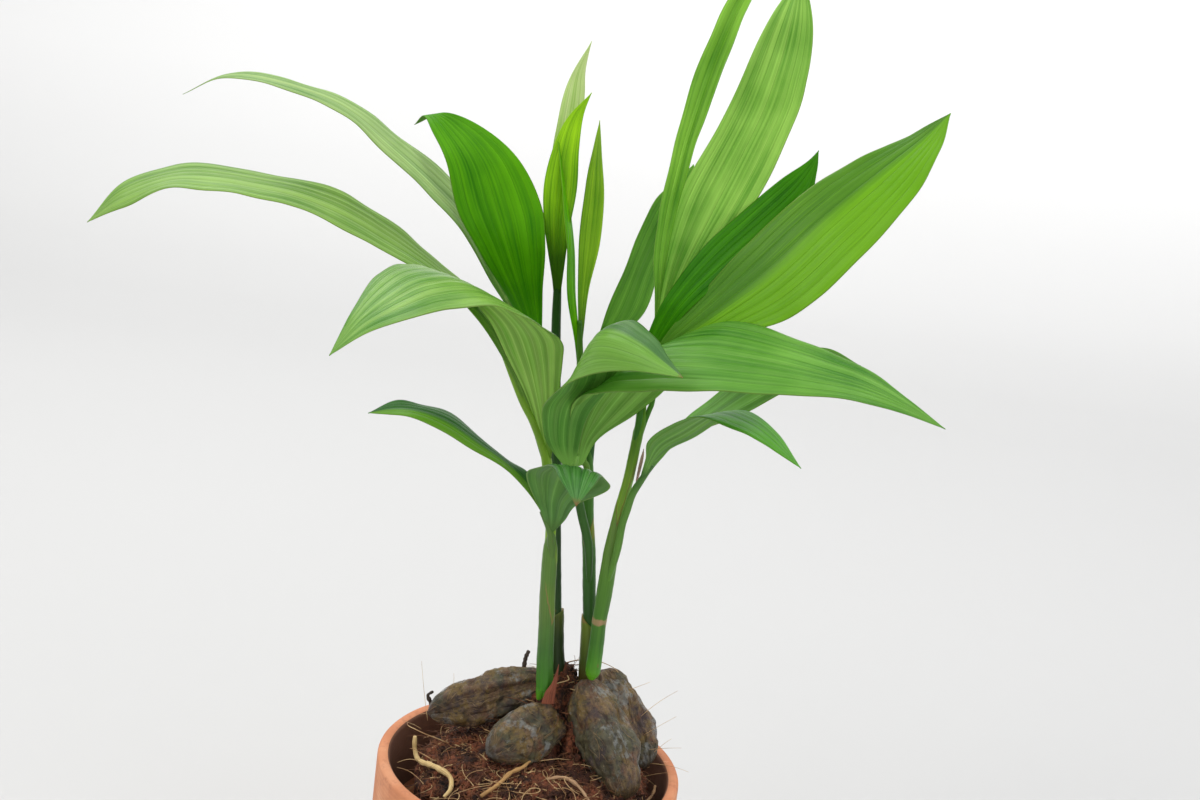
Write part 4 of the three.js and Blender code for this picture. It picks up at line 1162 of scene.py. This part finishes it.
# Long fine hairs: a foot, the way each points, and its length in mm.
HAIRS = [
    ((-42, 4, 120), (-0.25, 0.1, 1.0), 24), ((-34, 6, 127), (0.15, 0.1, 1.0), 13),
    ((-30, 8, 129), (-0.05, 0.0, 1.0), 8), ((-44, 2, 117), (-0.8, -0.3, 0.6), 9),
    ((44, 8, 124), (0.8, 0.1, 0.65), 15), ((47, 6, 119), (0.9, -0.2, 0.35), 13),
    ((48, 4, 114), (1.0, -0.1, 0.12), 16), ((42, 12, 130), (0.7, 0.2, 0.8), 18),
    ((46, -2, 111), (0.85, -0.3, 0.55), 11), ((36, 18, 138), (0.8, 0.3, 0.3), 10),
    ((49, 8, 117), (0.75, 0.2, 0.9), 9), ((12, 16, 145), (0.5, 0.0, 1.0), 7),
    ((9, 17, 145), (-0.3, 0.2, 1.0), 6), ((15, 14, 144), (0.9, -0.2, 0.5), 6),
]


def make_hairs(material):
    rng = np.random.default_rng(21)
    builder = Builder()
    for foot, way, length in HAIRS:
        way = np.array(way) / np.linalg.norm(way)
        sag = np.array([rng.normal(0, 0.02), rng.normal(0, 0.02), -0.02])
        points = [np.array(foot, float)]
        for k in range(10):
            points.append(points[-1] + way * length / 10)
            way = way + sag
            way /= np.linalg.norm(way)
        tube(builder, points, np.linspace(0.11, 0.05, len(points)), 5)
    builder.finish("long_hairs", [material], ())


# ---- roots, twigs, sheaths -------------------------------------------------------------------

ROOTS = {
    "root_white": [[-46, -1, 115, 0.9], [-45.5, -1.5, 110, 1.1], [-44, -4, 107.5, 1.2], [-42, -9, 108.5, 1.2],
        [-37, -15, 110.5, 1.3], [-33, -20, 111.8, 1.3], [-29, -25, 112, 1.1], [-28, -30, 110, 0.9],
        [-30, -33, 107.5, 0.8]],
    "root_tan": [[-16, -36, 111.5, 0.9], [-10, -31, 115, 1], [-6, -25, 117.3, 1], [-2, -22, 118.5, 0.9],
        [1, -17, 119.5, 0.7]],
    "root_front": [[8, -24, 116, 0.7], [14, -22, 116.5, 0.8], [20, -24, 115, 0.8], [26, -30, 111, 0.7]],
    "root_edge_right": [[44, -22, 107, 0.7], [47, -15, 106.5, 0.8], [50, -7, 106, 0.7], [51, -1, 107, 0.6]],
}

TWIGS = {
    "twig_upright": [[-7, 14.5, 141, 1], [-6.8, 15, 145, 1], [-6.5, 15, 148, 1], [-5.8, 15.3, 150.5, 0.7]],
    "twig_left": [[-40, 9, 121, 1], [-42, 10, 125, 1], [-43.5, 10, 128, 0.8], [-41.5, 10, 130, 0.6]],
}

SLEEVES = {
    "sheath_b": {"stem": "stem_b", "radius": 3.4, "bottom": 148, "top": 171, "fall": -0.5},
    "sheath_c": {"stem": "stem_c", "radius": 3.8, "bottom": 148, "top": 169, "fall": 1},
}

SCALES = {
    "scale_a": [[2, -4.5, 138, 7, -3.2, 138, 0.1], [3, -4.6, 143, 7, -3.4, 143, 0.1],
        [5, -4.4, 147, 7, -3.4, 148, 0.05],
        [6.2, -4, 152, 7, -3.6, 152, 0], [6.8, -3.8, 155, 6.8, -3.8, 155, 0]],
    "scrap_d": [[26.9, 1.4, 232, 27.6, 3, 232, 0], [27.2, 1.6, 238, 28.4, 3, 238, 0],
        [27.6, 2, 242, 28.6, 3, 242, 0], [28.2, 2.4, 245, 28.2, 2.4, 245, 0]],
}


def make_rods():
    looks = {
        "root_white": dry_material("root_white", (236, 214, 160), (196, 158, 96)),
        "root_tan": dry_material("root_tan", (214, 172, 110), (156, 112, 64)),
        "root_front": dry_material("root_front", (204, 170, 132), (154, 114, 82)),
        "root_edge_right": dry_material("root_edge_right", (166, 128, 82), (108, 76, 50)),
        "twig": dry_material("twig", (82, 66, 54), (38, 31, 26)),
    }
    for k, (name, rod) in enumerate({**ROOTS, **TWIGS}.items()):
        path = smooth_rows(rod, 12)
        share = np.linspace(0, 1, len(path))
        radii = path[:, 3] * (0.85 + 0.10 * np.sin(share * 31 + k))
        builder = Builder()
        tube(builder, path[:, :3], radii, 14, 0, k, wobble=0.3)
        builder.finish(f"{name}_fine", [looks.get(name, looks["twig"])], [name])


def make_sleeve(name, sleeve, stops):
    """A cut sheath around the foot of a stem, with a slanted brown-edged top."""
    path = smooth_rows(STEMS[sleeve["stem"]], 14)
    inside = (path[:, 2] > sleeve["bottom"] - 12) & (path[:, 2] < sleeve["top"])
    path = path[inside]
    share = np.linspace(0, 1, len(path))
    radii = sleeve["radius"] * (1.0 + 0.05 * np.sin(share * 5)) * np.where(share > 0.97, 0.97, 1.0)
    builder = Builder()
    sides = 36
    tube(builder, path[:, :3], radii, sides, 0, 4.0, wobble=0.1)
    verts = builder.verts[0]
    for i in range(len(path)):
        ring = slice(i * sides, (i + 1) * sides)
        near_top = max(0.0, (share[i] - 0.4) / 0.6)
        verts[ring, 2] -= (verts[ring, 0] - path[i, 0]) * sleeve["fall"] * near_top
    top = sleeve["top"]
    material = stem_material(name, stops, (), [(top + 0.8, 2.4, (140, 112, 60))])
    builder.finish(f"{name}_fine", [material], [name])


def make_sheaths():
    stops = {
        "sheath_b": [(140, (24, 40, 14)), (160, (40, 58, 20)), (174, (92, 106, 36))],
        "sheath_c": [(140, (88, 58, 34)), (152, (74, 92, 30)), (174, (122, 142, 46))],
    }
    for name, sleeve in SLEEVES.items():
        make_sleeve(name, sleeve, stops[name])
    dry = dry_material("dry_scale", (164, 92, 62), (104, 52, 34))
    papery = dry_material("papery", (202, 172, 156), (158, 120, 100))
    for k, (name, stations) in enumerate(SCALES.items()):
        builder = Builder()
        lamina(builder, stations, 4, 20.0 + k, [0, 0])
        builder.finish(f"{name}_fine", [dry if name == "scale_a" else papery], [name])


# ---- stage ----------------------------------------------------------------------------------


def make_stage():
    """A pale floor that curves up into a backdrop."""
    rows = [(-1.6, 0.0), (0.9, 0.0)]
    turn = 0.7
    for i in range(1, 13):
        angle = math.pi / 2 * i / 12
        rows.append((0.9 + turn * math.sin(angle), turn * (1 - math.cos(angle))))
    rows.append((0.9 + turn, 2.6))
    verts = []
    for y, z in rows:
        verts += [(-2.6, y, z - 0.0002), (2.6, y, z - 0.0002)]
    faces = [(2 * i, 2 * i + 1, 2 * i + 3, 2 * i + 2) for i in range(len(rows) - 1)]
    mesh = bpy.data.meshes.new("stage")
    mesh.from_pydata(verts, [], faces)
    mesh.polygons.foreach_set("use_smooth", [True] * len(faces))
    stage = bpy.data.objects.new("stage", mesh)
    bpy.context.scene.collection.objects.link(stage)
    n = Nodes("stage")
    tone = n.noise(n.place(), 1.2, 2.0)
    height = n.split(n.place())[2]
    shade = n.ramp(height, (0.0, 0.60), (0.05, 0.70), (0.16, 0.84), (0.30, 0.94))
    n.surface(n.times(shade, n.ramp(tone, (0.3, 0.98), (0.7, 1.0))), 0.9)
    mesh.materials.append(n.material)


# Lights: place, what each points at, disk size, power and colour, in metres and watts.
CENTRE = (0.0, 0.0, 0.22)
LIGHTS = {
    "key": ((-0.9, -0.7, 1.35), CENTRE, 0.9, 10.2, (1.0, 0.985, 0.96)),
    "fill": ((1.1, -0.9, 0.8), CENTRE, 1.2, 4, (0.97, 0.985, 1.0)),
    "back": ((-0.5, 0.75, 1.1), CENTRE, 0.9, 5, (1.0, 1.0, 0.98)),
    "wash": ((0.8, 0.5, 2.1), (0.6, 1.4, 0.3), 1.4, 17, (1.0, 1.0, 1.0)),
}


def make_lights():
    for name, (place, target, size, power, colour) in LIGHTS.items():
        data = bpy.data.lights.new(name, "AREA")
        data.shape, data.size, data.energy, data.color = "DISK", size, power, colour
        light = bpy.data.objects.new(name, data)
        light.location = place
        towards = Vector(target) - Vector(place)
        light.rotation_euler = towards.to_track_quat("-Z", "Y").to_euler()
        bpy.context.scene.collection.objects.link(light)
    world = bpy.data.worlds.new("studio")
    world.use_nodes = True
    background = world.node_tree.nodes["Background"]
    background.inputs[0].default_value = (1.0, 1.0, 1.0, 1.0)
    background.inputs[1].default_value = 0.62
    bpy.context.scene.world = world


CAMERA_PLACE = (0.0094, -0.716, 0.4828)
CAMERA_PITCH = math.radians(17.09)
CAMERA_ROLL = math.radians(7.44)


def make_camera():
    data = bpy.data.cameras.new("camera")
    data.lens = 60.0
    data.sensor_width = 36.0
    camera = bpy.data.objects.new("camera", data)
    forward = Vector((0, math.cos(CAMERA_PITCH), -math.sin(CAMERA_PITCH)))
    level_up = Vector((0, math.sin(CAMERA_PITCH), math.cos(CAMERA_PITCH)))
    level_right = Vector((1, 0, 0))
    c, s = math.cos(CAMERA_ROLL), math.sin(CAMERA_ROLL)
    right = level_right * c + level_up * s
    up = level_up * c - level_right * s
    axes = Matrix((right, up, -forward)).transposed()
    camera.matrix_world = Matrix.Translation(CAMERA_PLACE) @ axes.to_4x4()
    bpy.context.scene.collection.objects.link(camera)
    bpy.context.scene.camera = camera


# ---- assembly -------------------------------------------------------------------------------

make_camera()
make_lights()
make_stage()
bpy.context.scene.view_settings.view_transform = "Standard"

make_pot()
soil_look = soil_material()
make_root_ball(soil_look)
coir = fibre_material("coir", (148, 96, 60), (70, 40, 25))
hair_root = fibre_material("hair_root", (214, 182, 132), (160, 120, 80))
scatter_fibres("coir_fibres", 1300, coir, 5, 0.14, 0.7, 14)
scatter_fibres("hair_roots", 260, hair_root, 8, 0.20, 0.6, 26)
make_hairs(hair_root)

husk = husk_material()
husk_fibres = Builder()
fibre_numbers = np.random.default_rng(31)
nut_points = []
for number, (nut_name, nut) in enumerate(NUTS.items()):
    nut_points.append(make_nut(nut_name, nut, husk, 1.7 * number + 0.6, husk_fibres, fibre_numbers))
nut_points = np.concatenate(nut_points)
husk_fibres.finish("husk_fibres", [fibre_material("husk_fibre", (150, 126, 92), (66, 50, 36))], ())
scatter_crumbs(4200, soil_look, nut_points)

for number, (stem_name, stem) in enumerate(STEMS.items()):
    make_stem(stem_name, stem, 2.3 * number)

for number, (leaf_name, leaf) in enumerate(LEAVES.items()):
    make_leaf(leaf_name, leaf, LOBE_LOOKS[leaf_name], 5.7 * number + 1.0)

make_rods()
make_sheaths()
